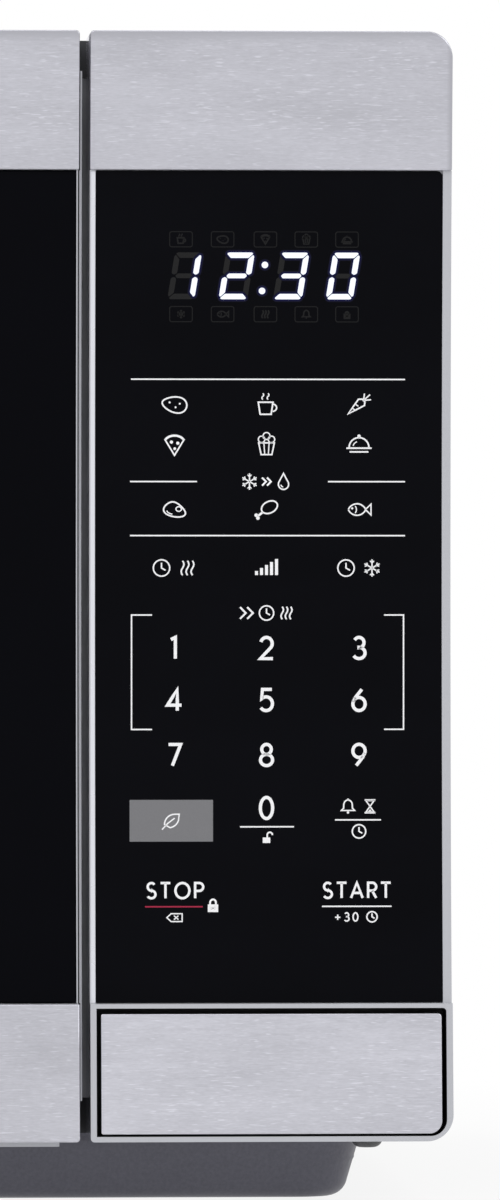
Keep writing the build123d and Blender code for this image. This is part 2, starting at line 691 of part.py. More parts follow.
with BuildPart() as door_pan:
    span_box(choke_x, (choke_front, choke_back), choke_z)
    span_box((choke_x[0] + pan_sheet, choke_x[1] - pan_sheet), (choke_front + pan_sheet, choke_back),
             (choke_z[0] + pan_sheet, choke_z[1] - pan_sheet), mode=Mode.SUBTRACT)
    span_box(throat_x, (choke_front, choke_back), throat_z)
    span_box((throat_x[0] + pan_sheet, throat_x[1] - pan_sheet),
             (choke_front - pan_sheet, choke_back - pan_sheet),
             (throat_z[0] + pan_sheet, throat_z[1] - pan_sheet), mode=Mode.SUBTRACT)
    span_box(screen_x, (choke_front, choke_back), screen_z, mode=Mode.SUBTRACT)
    for base in (choke_z[0], choke_z[1] - ear_sheet):
        span_box((hinge_x - ear_half, choke_x[0] + ear_half), (hinge_y - ear_half, hinge_y + ear_half),
                 (base, base + ear_sheet))
    rod((hinge_x, hinge_y, choke_z[0] - pan_sheet), (0, 0, 1), pin_radius + pin_running_gap,
        choke_z[1] - choke_z[0] + 2 * pan_sheet, mode=Mode.SUBTRACT)
door_pan.part.label = "door_pan"
export_step(door_pan.part, "parts/door_pan.step")

with BuildPart() as window_screen:
    span_box(screen_x, (choke_back - pan_sheet, choke_back), screen_z)
window_screen.part.label = "window_screen"
export_step(window_screen.part, "parts/window_screen.step")

film_thickness = 0.5
film_lap = 8.0
with BuildPart() as window_film:
    span_box((screen_x[0] - film_lap, screen_x[1] + film_lap), (choke_back, choke_back + film_thickness),
             (screen_z[0] - film_lap, screen_z[1] + film_lap))
window_film.part.label = "window_film"
export_step(window_film.part, "parts/window_film.step")

# Choke cover: the moulded ring on the back of the door, slotted for the hooks
cover_lap = 2.0
with BuildPart() as choke_cover:
    span_box((choke_x[0] + guide_gap, inner_door_right - guide_gap), (choke_back, cover_back), choke_z)
    span_box((throat_x[0] + cover_lap, throat_x[1] - cover_lap),
             (choke_back - pan_sheet, cover_back + pan_sheet),
             (throat_z[0] + cover_lap, throat_z[1] - cover_lap), mode=Mode.SUBTRACT)
    for level in hook_levels:
        span_box(hook_slot, (choke_back - pan_sheet, cover_back + pan_sheet),
                 (level - hook_drop - hook_swing, level + hook_height + hook_lift + hook_swing),
                 mode=Mode.SUBTRACT)
choke_cover.part.label = "choke_cover"
export_step(choke_cover.part, "parts/choke_cover.step")

# Latch: one bar with two hooks, pushed down by a spring
nose_length = 6.0
hook_tip = case_front + hook_reach
with BuildPart() as latch_hooks:
    span_box((hook_left, hook_right), (bar_front, bar_back), (bar_low, bar_high))
    for level in hook_levels:
        span_box((hook_left, hook_right), (bar_front, hook_tip), (level, level + hook_height))
        span_box((hook_left, hook_right), (hook_tip - nose_length, hook_tip), (level - hook_drop, level))
latch_hooks.part.label = "latch_hooks"
export_step(latch_hooks.part, "parts/latch_hooks.step")

spring_radius = 2.4
spring_bore = 1.4
bar_x = (hook_left + hook_right) / 2
bar_y = (bar_front + bar_back) / 2
with BuildPart() as latch_spring:
    rod((bar_x, bar_y, bar_high), (0, 0, 1), spring_radius, spring_length)
    rod((bar_x, bar_y, bar_high), (0, 0, 1), spring_bore, spring_length, mode=Mode.SUBTRACT)
latch_spring.part.label = "latch_spring"
export_step(latch_spring.part, "parts/latch_spring.step")

# Control panel frame with its overlay recess, display window and button pocket
overlay_thickness = 1.2
overlay_recess = 0.3
overlay_left_trim = 1.6
overlay_right_trim = 2.4
overlay_x = (panel_left + overlay_left_trim, right - overlay_right_trim)
overlay_seat = overlay_recess + overlay_thickness
panel_radii = (inner_radius, inner_radius, outer_radius, outer_radius)
rail_left = 1.6
rail_right = 1.7
rail_top = 1.2
rail_bottom = 1.4
pocket_x = (panel_left + rail_left, right - rail_right)
pocket_z = (fascia_low + rail_bottom, band_low - rail_top)
pocket_radius = 4.4
pocket_depth = 16.0
pocket_floor = fascia_front + pocket_depth
floor_thickness = 2.0
display_inset_left = 17.5
display_inset_right = 21.0
display_drop = 42.0
display_height = 30.0
display_low = band_high - display_drop
display_x = (panel_left + display_inset_left, right - display_inset_right)
display_z = (display_low, display_low + display_height)
post_radius = 3.0
post_gap = 0.4
post_inset_left = 8.0
post_inset_right = 10.0
post_rise = 18.4
post_z = fascia_low + post_rise
button_gap_left = 1.2
button_gap_right = 1.25
button_gap_top = 1.45
button_gap_bottom = 0.6
button_x = (pocket_x[0] + button_gap_left, pocket_x[1] - button_gap_right)
button_z = (pocket_z[0] + button_gap_bottom, pocket_z[1] - button_gap_top)
post_places = (button_x[0] + post_inset_left, button_x[1] - post_inset_right)
button_mid = (button_x[0] + button_x[1]) / 2
board_inset_x = 6.0
board_inset_low = 14.0
board_inset_high = 8.0
board_setback = 6.9
board_thickness = 1.6
board_post_radius = 2.6
board_post_inset = 5.0
panel_inside = overlay_seat + front_wall
board_x = (panel_left + board_inset_x, right - board_inset_x)
board_z = (band_low + board_inset_low, band_high - board_inset_high)
board_front = hollow_front + panel_inside + board_setback

panel_core = fascia_block((panel_left + strip_sheet, right - strip_sheet),
                          (band_high, fascia_high - strip_sheet), strip_back, 0, (0, 0, 0, core_radius))
panel_foot = fascia_block((panel_left, right), (fascia_low, band_low), strip_back, bottom_step,
                          (inner_radius, 0, outer_radius, 0))

with BuildPart() as control_panel_frame:
    extrude(outline(case_front, (panel_left, right), fascia_z, panel_radii), amount=case_front - strip_back)
    extrude(side_profile(panel_left, band_low, band_high, strip_back, 0), amount=panel_width)
    add(panel_core)
    add(panel_foot)
    extrude(skin_profile(overlay_x[0] - fit_gap, band_low, band_high, through, through + overlay_seat),
            amount=overlay_x[1] - overlay_x[0] + 2 * fit_gap, mode=Mode.SUBTRACT)
    extrude(side_profile(panel_left + wall, band_low + wall, fascia_high - shell, case_front,
                         -panel_inside), amount=panel_width - 2 * wall, mode=Mode.SUBTRACT)
    span_box((panel_left + wall, right - wall), (pocket_floor + floor_thickness, case_front),
             (fascia_low + wall, band_low + 2 * wall), mode=Mode.SUBTRACT)
    extrude(outline(pocket_floor, pocket_x, pocket_z, (0, 0, pocket_radius, inner_radius)),
            amount=pocket_depth + through, mode=Mode.SUBTRACT)
    span_box(display_x, (fascia_front, board_front), display_z, mode=Mode.SUBTRACT)
    for x in post_places:
        rod((x, pocket_floor - floor_thickness, post_z), (0, 1, 0), post_radius + post_gap,
            3 * floor_thickness, mode=Mode.SUBTRACT)
    for x in (board_x[0] + board_post_inset, board_x[1] - board_post_inset):
        for z in (board_z[0] + board_post_inset, board_z[1] - board_post_inset):
            board_post_start = front_y(z, -panel_inside) - front_wall / 2
            rod((x, board_post_start, z), (0, 1, 0), board_post_radius, board_front - board_post_start)
control_panel_frame.part.label = "control_panel_frame"
export_step(control_panel_frame.part, "parts/control_panel_frame.step")

panel_cap = fascia_block((panel_left, right), (band_high, fascia_high), strip_back, top_step,
                         (0, inner_radius, 0, outer_radius))
with BuildPart() as panel_top_cover:
    add(panel_cap)
    add(panel_core, mode=Mode.SUBTRACT)
panel_top_cover.part.label = "panel_top_cover"
export_step(panel_top_cover.part, "parts/panel_top_cover.step")

with BuildPart() as touch_overlay:
    extrude(skin_profile(overlay_x[0], band_low + fit_gap, band_high - fit_gap, -overlay_recess,
                         overlay_thickness), amount=overlay_x[1] - overlay_x[0])
touch_overlay.part.label = "touch_overlay"
export_step(touch_overlay.part, "parts/touch_overlay.step")

# Door button: a moulded body with a steel plate, two guide posts and a return spring
button_travel = 5.0
button_margin = 0.5
plate_sheet = 0.8
button_wall = 2.0
button_face = 2.2
lug_radius = 4.0
lug_height = 1.5
post_reach = 12.0
return_radius = 5.0
return_bore = 3.8
button_radii = (0.5, 0.5, 3.4, 1.0)
button_back = pocket_floor - button_travel - button_margin
button_inside = front_y(button_z[1], bottom_step) + plate_sheet + button_face
post_end = pocket_floor + post_reach
body_block = fascia_block(button_x, button_z, button_back, bottom_step - plate_sheet, button_radii)
button_face_block = fascia_block(button_x, button_z, button_back, bottom_step, button_radii)

with BuildPart() as button_body:
    add(body_block)
    span_box((button_x[0] + button_wall, button_x[1] - button_wall), (button_inside, button_back + through),
             (button_z[0] + button_wall, button_z[1] - button_wall), mode=Mode.SUBTRACT)
    for x in post_places:
        rod((x, button_inside - button_face / 2, post_z), (0, 1, 0), post_radius,
            post_end - button_inside + button_face / 2)
        rod((x, pocket_floor + floor_thickness + button_margin, post_z), (0, 1, 0), lug_radius, lug_height)
button_body.part.label = "button_body"
export_step(button_body.part, "parts/button_body.step")

with BuildPart() as button_plate:
    add(button_face_block)
    add(body_block, mode=Mode.SUBTRACT)
button_plate.part.label = "button_plate"
export_step(button_plate.part, "parts/button_plate.step")

with BuildPart() as button_spring:
    rod((button_mid, button_inside, post_z), (0, 1, 0), return_radius, pocket_floor - button_inside)
    rod((button_mid, button_inside, post_z), (0, 1, 0), return_bore, pocket_floor - button_inside,
        mode=Mode.SUBTRACT)
button_spring.part.label = "button_spring"
export_step(button_spring.part, "parts/button_spring.step")

# Interlock bracket behind the front plate, with a catch ledge for each hook
bracket_gap = 5.0
bracket_sheet = 2.5
bracket_depth = 40.0
bracket_over = 24.0
bracket_under = 22.0
flange_gap = 0.5
ledge_height = 5.0
ledge_gap = 0.4
ledge_setback = 5.0
ledge_nose_gap = 4.0
pivot_setback = 6.0
pivot_drop = 20.0
hub_radius = 4.0
lever_pin_radius = 1.5
lever_width = 16.0
lever_play = 1.0
lever_ear = 2.5
bridge_gap = 9.4
bridge_sheet = 2.5
bridge_depth = 7.0
ear_radius = 5.0
finger_inset = 0.5
finger_height = 4.0
finger_window = 8.0
finger_clearance = 2.0
cut_over = 1.0
bracket_left = hook_right + bracket_gap
bracket_x = (bracket_left, bracket_left + bracket_sheet)
bracket_flange_right = cut_x[0] - flange_gap
ledge_y = (plate_back + ledge_setback, hook_tip - nose_length - ledge_nose_gap)
pivot_y = plate_back + pivot_setback
pivot_z = low_hook - pivot_drop
lever_x = (bracket_x[1] + lever_play, bracket_x[1] + lever_play + lever_width)
ear_x = (lever_x[1] + lever_play, lever_x[1] + lever_play + lever_ear)
bridge_z = (pivot_z + bridge_gap, pivot_z + bridge_gap + bridge_sheet)
bracket_z = (pivot_z - bracket_under, high_hook + bracket_over)
finger_y = (hook_tip - nose_length + finger_inset, hook_tip - finger_inset)
finger_high = low_hook - hook_drop - ledge_gap
finger_z = (finger_high - finger_height, finger_high)

with BuildPart() as interlock_bracket:
    span_box(bracket_x, (plate_back, plate_back + bracket_depth), bracket_z)
    span_box((bracket_x[0], bracket_flange_right), (plate_back, plate_back + floor_thickness), bracket_z)
    for level in hook_levels:
        ledge_high = level - hook_drop - ledge_gap
        span_box((hook_left - hook_swing, bracket_x[0]), ledge_y, (ledge_high - ledge_height, ledge_high))
    span_box((bracket_x[0] - through, bracket_x[1] + through),
             (finger_y[0] - finger_window, finger_y[1] + finger_clearance),
             (finger_high - finger_window, finger_high + finger_window), mode=Mode.SUBTRACT)
    span_box((bracket_x[1], ear_x[1]), (plate_back, plate_back + bridge_depth), bridge_z)
    span_box(ear_x, (plate_back, pivot_y + ear_radius), (pivot_z - ear_radius, bridge_z[1]))
    rod((bracket_x[0] - cut_over, pivot_y, pivot_z), (1, 0, 0), lever_pin_radius,
        ear_x[1] - bracket_x[0] + 2 * cut_over, mode=Mode.SUBTRACT)
interlock_bracket.part.label = "interlock_bracket"
export_step(interlock_bracket.part, "parts/interlock_bracket.step")

with BuildPart() as lever_pin:
    rod((bracket_x[0], pivot_y, pivot_z), (1, 0, 0), lever_pin_radius, ear_x[1] - bracket_x[0])
lever_pin.part.label = "lever_pin"
export_step(lever_pin.part, "parts/lever_pin.step")

# Release lever: the button's post pushes its lower arm, and its finger lifts the lower hook
arm_width = 7.0
arm_half = 2.6
pad_gap = 0.5
pad_under = 4.0
pad_y = post_end + pad_gap
pad_low = post_z - pad_under
arm_x = (post_places[0] - arm_width / 2, post_places[0] + arm_width / 2)
with BuildPart() as release_lever:
    rod((lever_x[0], pivot_y, pivot_z), (1, 0, 0), hub_radius, lever_width)
    with BuildSketch(Plane.YZ.offset(arm_x[0])):
        with BuildLine():
            Polyline(
                (pivot_y - hub_radius, pivot_z),
                (pad_y, post_z + arm_half),
                (pad_y, pad_low),
                (pad_y + 2 * arm_half, pad_low),
                (pivot_y + arm_half, pivot_z - arm_half),
                (finger_y[1], finger_z[0]),
                (finger_y[1], finger_z[1]),
                (finger_y[0], finger_z[1]),
                (pivot_y - arm_half, pivot_z + arm_half),
                close=True,
            )
        make_face()
    extrude(amount=arm_width)
    span_box((hook_left, arm_x[1]), finger_y, finger_z)
    rod((lever_x[0] - cut_over, pivot_y, pivot_z), (1, 0, 0), lever_pin_radius + pin_running_gap,
        lever_width + 2 * cut_over, mode=Mode.SUBTRACT)
release_lever.part.label = "release_lever"
export_step(release_lever.part, "parts/release_lever.step")

# Three interlock switches on the bracket, each with a plunger and three terminals
switch_width = 10.0
switch_depth = 16.0
switch_height = 28.0
switch_setback = 12.0
plunger_radius = 1.5
plunger_reach = 1.5
switch_low_rise = 14.0
switch_mid_drop = 8.0
switch_high_drop = 26.0
terminal_count = 3
terminal_length = 6.0
terminal_width = 4.0
terminal_sheet = 0.8
terminal_setback = 2.0
switch_x = (bracket_x[1], bracket_x[1] + switch_width)
switch_y = (plate_back + switch_setback, plate_back + switch_setback + switch_depth)
switch_levels = (low_hook + switch_low_rise, (low_hook + high_hook) / 2 - switch_mid_drop,
                 high_hook - switch_high_drop)
terminal_y = (switch_y[0] + terminal_setback, switch_y[0] + terminal_setback + terminal_width)
with BuildPart() as micro_switches:
    for level in switch_levels:
        span_box(switch_x, switch_y, (level, level + switch_height))
        rod(((switch_x[0] + switch_x[1]) / 2, switch_y[1], level + switch_height / 3), (0, 1, 0),
            plunger_radius, plunger_reach)
        for index in range(terminal_count):
            terminal_z = level + (index + 1) * switch_height / (terminal_count + 1)
            span_box((switch_x[1], switch_x[1] + terminal_length), terminal_y,
                     (terminal_z - terminal_sheet / 2, terminal_z + terminal_sheet / 2))
micro_switches.part.label = "micro_switches"
export_step(micro_switches.part, "parts/micro_switches.step")

# Control board behind the overlay, and the display module in front of it
relay_width = 16.0
relay_height = 18.0
relay_depth = 10.4
relay_rise = 12.0
converter_width = 26.0
converter_height = 22.0
converter_rise = 42.0
relay_places = (panel_left + 36.0, panel_left + 56.0)
board_back = board_front + board_thickness
with BuildPart() as control_board:
    span_box(board_x, (board_front, board_back), board_z)
    for x in relay_places:
        span_box((x, x + relay_width), (board_back, board_back + relay_depth),
                 (board_z[0] + relay_rise, board_z[0] + relay_rise + relay_height))
    span_box((relay_places[0], relay_places[0] + converter_width), (board_back, board_back + relay_depth),
             (board_z[0] + converter_rise, board_z[0] + converter_rise + converter_height))
control_board.part.label = "control_board"
export_step(control_board.part, "parts/control_board.step")

display_lap = 2.0
display_gap = 0.6
display_front = front_y(display_z[0], -overlay_seat) + display_gap
with BuildPart() as display_module:
    span_box((display_x[0] + display_lap, display_x[1] - display_lap), (display_front, board_front),
             (display_z[0] + display_lap, display_z[1] - display_lap))
display_module.part.label = "display_module"
export_step(display_module.part, "parts/display_module.step")

# Turntable: motor under the floor, shaft, coupler, roller ring with three wheels, and the glass tray
motor_radius = 24.5
motor_height = 20.0
motor_ear = 36.0
motor_ear_half = 5.0
motor_plug_half = 9.0
motor_plug_reach = 6.0
shaft_radius = 3.0
shaft_flat = 2.2
shaft_drop = 12.0
shaft_rise = 8.0
coupler_gap = 0.5
coupler_rise = 16.4
coupler_hub = 9.0
coupler_arm = 18.0
coupler_arm_width = 8.0
coupler_edge = 1.0
wheel_radius = 8.5
wheel_width = 11.0
wheel_play = 0.6
wheel_count = 3
rolling_gap = 0.3
tray_clearance = 16.5
tray_thickness = 5.0
tray_rim = 11.0
rim_width = 17.0
rim_thickness = 4.0
rim_edge = 1.2
rim_land = 2.5
track_inset = 54.0
ring_width = 7.0
ring_height = 6.0
axle_radius = 2.0
axle_head = 1.6
axle_head_radius = 3.0
tray_lug_inner = 11.0
tray_lug_outer = 21.0
tray_lug_width = 9.0
tray_lug_drop = 4.0
tray_lug_turn = 30.0
shaft_low = cavity_low - shaft_drop
shaft_high = cavity_low + shaft_rise
coupler_low = cavity_low + coupler_gap
coupler_high = cavity_low + coupler_rise
motor_high = cavity_low - cavity_sheet
motor_low = motor_high - motor_height
tray_radius = min(cavity_width, cavity_depth) / 2 - tray_clearance
track_radius = tray_radius - track_inset
axle_z = cavity_low + rolling_gap + wheel_radius
tray_low = axle_z + wheel_radius + rolling_gap
wheel_inner = track_radius - wheel_width / 2
ring_outer = wheel_inner - wheel_play
axle_end = track_radius + wheel_width / 2 + wheel_play
thirds = [index * 360.0 / wheel_count for index in range(wheel_count)]


def around(radius, angle, z):
    """Point at a radius and an angle round the turntable's axis."""
    return (cavity_x + radius * cos(radians(angle)), cavity_y + radius * sin(radians(angle)), z)


with BuildPart() as turntable_motor:
    rod((cavity_x, cavity_y, motor_low), (0, 0, 1), motor_radius, motor_height)
    span_box((cavity_x - motor_ear, cavity_x + motor_ear),
             (cavity_y - motor_ear_half, cavity_y + motor_ear_half), (motor_high - cavity_sheet, motor_high))
    span_box((cavity_x - motor_plug_half, cavity_x + motor_plug_half),
             (cavity_y, cavity_y + motor_radius + motor_plug_reach),
             (motor_low, motor_low + motor_height / 2))
    rod((cavity_x, cavity_y, shaft_low - cut_over), (0, 0, 1), shaft_radius + pin_running_gap, through,
        mode=Mode.SUBTRACT)
turntable_motor.part.label = "turntable_motor"
export_step(turntable_motor.part, "parts/turntable_motor.step")

with BuildPart() as turntable_shaft:
    rod((cavity_x, cavity_y, shaft_low), (0, 0, 1), shaft_radius, shaft_high - shaft_low)
    span_box((cavity_x + shaft_flat, cavity_x + through), (cavity_y - through, cavity_y + through),
             (coupler_low, shaft_high), mode=Mode.SUBTRACT)
turntable_shaft.part.label = "turntable_shaft"
export_step(turntable_shaft.part, "parts/turntable_shaft.step")

with BuildPart() as turntable_coupler:
    with BuildSketch(Plane.XY.offset(coupler_low)):
        with Locations((cavity_x, cavity_y)):
            Circle(coupler_hub)
        for angle in thirds:
            with Locations(Location(around(coupler_arm / 2, angle + 90.0, 0), (0, 0, angle + 90.0))):
                Rectangle(coupler_arm, coupler_arm_width)
    extrude(amount=coupler_high - coupler_low)
    fillet(turntable_coupler.faces().sort_by(Axis.Z)[-1].edges(), coupler_edge)
    with BuildSketch(Plane.XY.offset(coupler_low)):
        with Locations((cavity_x, cavity_y)):
            Circle(shaft_radius + pin_running_gap)
        with Locations((cavity_x + shaft_flat + pin_running_gap + shaft_radius, cavity_y)):
            Rectangle(2 * shaft_radius, 4 * shaft_radius, mode=Mode.SUBTRACT)
    extrude(amount=shaft_high - coupler_low + pin_running_gap, mode=Mode.SUBTRACT)
turntable_coupler.part.label = "turntable_coupler"
export_step(turntable_coupler.part, "parts/turntable_coupler.step")

with BuildPart() as roller_ring:
    with Locations((cavity_x, cavity_y, axle_z)):
        Cylinder(ring_outer, ring_height)
        Cylinder(ring_outer - ring_width, 2 * ring_height, mode=Mode.SUBTRACT)
    fillet(roller_ring.edges().filter_by(GeomType.CIRCLE), coupler_edge)
    for angle in thirds:
        outward = (cos(radians(angle)), sin(radians(angle)), 0)
        rod(around(ring_outer - coupler_edge, angle, axle_z), outward, axle_radius,
            axle_end - ring_outer + coupler_edge)
        rod(around(axle_end, angle, axle_z), outward, axle_head_radius, axle_head)
roller_ring.part.label = "roller_ring"
export_step(roller_ring.part, "parts/roller_ring.step")

for number, angle in enumerate(thirds, start=1):
    outward = (cos(radians(angle)), sin(radians(angle)), 0)
    with BuildPart() as roller_wheel:
        rod(around(wheel_inner, angle, axle_z), outward, wheel_radius, wheel_width)
        fillet(roller_wheel.edges().filter_by(GeomType.CIRCLE), coupler_edge)
        rod(around(wheel_inner - cut_over, angle, axle_z), outward, axle_radius + pin_running_gap,
            wheel_width + 2 * cut_over, mode=Mode.SUBTRACT)
    roller_wheel.part.label = f"roller_wheel_{number}"
    export_step(roller_wheel.part, f"parts/roller_wheel_{number}.step")

tray_high = tray_low + tray_rim + rim_land / 2
with BuildPart() as glass_tray:
    with BuildSketch(Plane(origin=(cavity_x, cavity_y, 0), x_dir=(1, 0, 0), z_dir=(0, -1, 0))):
        with BuildLine():
            Polyline(
                (0, tray_low),
                (tray_radius - rim_width, tray_low),
                (tray_radius, tray_high - rim_land),
                (tray_radius, tray_high),
                (tray_radius - rim_thickness, tray_high),
                (tray_radius - rim_width - rim_edge, tray_low + tray_thickness),
                (0, tray_low + tray_thickness),
                close=True,
            )
        make_face()
    revolve(axis=Axis((cavity_x, cavity_y, 0), (0, 0, 1)))
    glass_edges = glass_tray.edges().filter_by(GeomType.CIRCLE).group_by(SortBy.RADIUS)
    fillet(glass_edges[-1] + glass_edges[-2], rim_edge)
    for angle in thirds:
        with BuildSketch(Plane.XY.offset(tray_low)):
            with Locations(Location(around((tray_lug_inner + tray_lug_outer) / 2, angle + tray_lug_turn, 0),
                                    (0, 0, angle + tray_lug_turn))):
                Rectangle(tray_lug_outer - tray_lug_inner, tray_lug_width)
        extrude(amount=-tray_lug_drop)
glass_tray.part.label = "glass_tray"
export_step(glass_tray.part, "parts/glass_tray.step")

# Waveguide on the cavity's side and its mica cover inside the cavity
guide_sheet = 1.0
antenna_hole = 9.0
mica_thickness = 0.5
mica_lap = 9.0
magnetron_rise = 18.0
magnetron_z = guide_z + magnetron_rise
guide_x = (bay_left, bay_left + guide_depth)
guide_y_span = (guide_y - guide_width / 2, guide_y + guide_width / 2)
guide_z_span = (guide_z - guide_height / 2, guide_z + guide_height / 2)
mica_half_width = aperture_width / 2 + mica_lap
mica_half_height = aperture_height / 2 + mica_lap

with BuildPart() as waveguide:
    span_box(guide_x, guide_y_span, guide_z_span)
    span_box((guide_x[0] - guide_sheet, guide_x[1] - guide_sheet),
             (guide_y_span[0] + guide_sheet, guide_y_span[1] - guide_sheet),
             (guide_z_span[0] + guide_sheet, guide_z_span[1] - guide_sheet), mode=Mode.SUBTRACT)
    rod((guide_x[1] - 2 * guide_sheet, guide_y, magnetron_z), (1, 0, 0), antenna_hole, 4 * guide_sheet,
        mode=Mode.SUBTRACT)
waveguide.part.label = "waveguide"
export_step(waveguide.part, "parts/waveguide.step")

with BuildPart() as waveguide_cover:
    span_box((cavity_right - mica_thickness, cavity_right),
             (guide_y - mica_half_width, guide_y + mica_half_width),
             (guide_z - mica_half_height, guide_z + mica_half_height))
waveguide_cover.part.label = "waveguide_cover"
export_step(waveguide_cover.part, "parts/waveguide_cover.step")

# Magnetron on the waveguide: yoke, anode with its magnets and antenna, cooling fins and filter box
yoke_sheet = 1.5
yoke_length = 42.0
yoke_half_width = 36.0
yoke_half_height = 42.0
antenna_radius = 7.0
antenna_reach = 16.0
anode_radius = 19.0
fin_count = 6
fin_sheet = 0.8
fin_half_width = 33.0
fin_half_height = 34.0
magnet_radius = 27.0
magnet_height = 7.0
filter_length = 28.0
filter_half = 24.0
yoke_x = (guide_x[1], guide_x[1] + yoke_length)
yoke_z = (magnetron_z - yoke_half_height, magnetron_z + yoke_half_height)
anode_start = yoke_x[0] + yoke_sheet
anode_end = yoke_x[1] - yoke_sheet
fin_start = anode_start + magnet_height
fin_end = anode_end - magnet_height
fin_pitch = (fin_end - fin_start) / (fin_count + 1)

with BuildPart() as magnetron_yoke:
    span_box(yoke_x, (guide_y - yoke_half_width, guide_y + yoke_half_width), yoke_z)
    span_box((anode_start, anode_end),
             (guide_y - yoke_half_width - cut_over, guide_y + yoke_half_width + cut_over),
             (yoke_z[0] + yoke_sheet, yoke_z[1] - yoke_sheet), mode=Mode.SUBTRACT)
    rod((yoke_x[0] - cut_over, guide_y, magnetron_z), (1, 0, 0), antenna_hole, yoke_sheet + 2 * cut_over,
        mode=Mode.SUBTRACT)
magnetron_yoke.part.label = "magnetron_yoke"
export_step(magnetron_yoke.part, "parts/magnetron_yoke.step")

with BuildPart() as magnetron_anode:
    rod((anode_start, guide_y, magnetron_z), (1, 0, 0), anode_radius, anode_end - anode_start)
    rod((anode_start - antenna_reach, guide_y, magnetron_z), (1, 0, 0), antenna_radius, antenna_reach)
    fillet(magnetron_anode.edges().filter_by(GeomType.CIRCLE).group_by(Axis.X)[0], antenna_radius / 2)
    rod((anode_start, guide_y, magnetron_z), (1, 0, 0), magnet_radius, magnet_height)
    rod((fin_end, guide_y, magnetron_z), (1, 0, 0), magnet_radius, magnet_height)
magnetron_anode.part.label = "magnetron_anode"
export_step(magnetron_anode.part, "parts/magnetron_anode.step")

with BuildPart() as magnetron_fins:
    for index in range(fin_count):
        fin_x = fin_start + (index + 1) * fin_pitch
        span_box((fin_x - fin_sheet / 2, fin_x + fin_sheet / 2),
                 (guide_y - fin_half_width, guide_y + fin_half_width),
                 (magnetron_z - fin_half_height, magnetron_z + fin_half_height))
    rod((fin_start, guide_y, magnetron_z), (1, 0, 0), anode_radius, fin_end - fin_start, mode=Mode.SUBTRACT)
magnetron_fins.part.label = "magnetron_fins"
export_step(magnetron_fins.part, "parts/magnetron_fins.step")

with BuildPart() as magnetron_filter:
    span_box((yoke_x[1], yoke_x[1] + filter_length), (guide_y - filter_half, guide_y + filter_half),
             (magnetron_z - filter_half, magnetron_z + filter_half))
magnetron_filter.part.label = "magnetron_filter"
export_step(magnetron_filter.part, "parts/magnetron_filter.step")

# High voltage transformer on the pan: laminated core and its two windings
core_width = 90.0
core_depth = 58.0
core_height = 75.0
core_leg = 24.0
core_window_width = 18.0
core_window_height = 44.0
core_inset_x = 15.0
core_setback = 60.0
winding_gap = 0.6
winding_over = 13.0
winding_count = 2
pan_floor = pan_low + case_sheet
core_x = bay_left + core_inset_x + core_width / 2
core_y = plate_back + core_setback + core_depth / 2
core_z = pan_floor + core_height / 2
winding_height = (core_window_height - (winding_count + 1) * winding_gap) / winding_count
winding_width = core_leg + 2 * (core_window_width - winding_gap)

with BuildPart() as transformer_core:
    with Locations((core_x, core_y, core_z)):
        Box(core_width, core_depth, core_height)
    for side in (-1, 1):
        with Locations((core_x + side * (core_leg + core_window_width) / 2, core_y, core_z)):
            Box(core_window_width, 2 * core_depth, core_window_height, mode=Mode.SUBTRACT)
transformer_core.part.label = "transformer_core"
export_step(transformer_core.part, "parts/transformer_core.step")

with BuildPart() as transformer_windings:
    for index in range(winding_count):
        base = core_z - core_window_height / 2 + winding_gap + index * (winding_height + winding_gap)
        with BuildSketch(Plane.XY.offset(base)):
            with Locations((core_x, core_y)):
                RectangleRounded(winding_width, core_depth + 2 * winding_over, winding_over)
                Rectangle(core_leg + winding_gap, core_depth + winding_gap, mode=Mode.SUBTRACT)
        extrude(amount=winding_height)
transformer_windings.part.label = "transformer_windings"
export_step(transformer_windings.part, "parts/transformer_windings.step")

# High voltage capacitor lying on the pan, and the diode on its terminals
can_width = 50.0
can_height = 30.0
can_length = 82.0
can_inset_x = 20.0
can_forward = 6.0
tab_reach = 8.0
tab_width = 6.0
tab_sheet = 0.8
tab_spread = 10.0
diode_radius = 4.0
diode_length = 26.0
can_x = (bay_left + can_inset_x, bay_left + can_inset_x + can_length)
can_y = guide_y - can_forward
can_z = pan_floor + can_height / 2

with BuildPart() as capacitor:
    with BuildSketch(Plane.YZ.offset(can_x[0])):
        with Locations((can_y, can_z)):
            SlotOverall(can_width, can_height)
    extrude(amount=can_length)
    for side in (-1, 1):
        tab_y = can_y + side * tab_spread
        span_box((can_x[1], can_x[1] + tab_reach), (tab_y - tab_width / 2, tab_y + tab_width / 2),
                 (can_z - tab_sheet / 2, can_z + tab_sheet / 2))
capacitor.part.label = "capacitor"
export_step(capacitor.part, "parts/capacitor.step")

with BuildPart() as high_voltage_diode:
    rod((can_x[1] + tab_reach / 2, can_y - diode_length / 2, can_z + tab_sheet / 2 + diode_radius),
        (0, 1, 0), diode_radius, diode_length)
high_voltage_diode.part.label = "high_voltage_diode"
export_step(high_voltage_diode.part, "parts/high_voltage_diode.step")

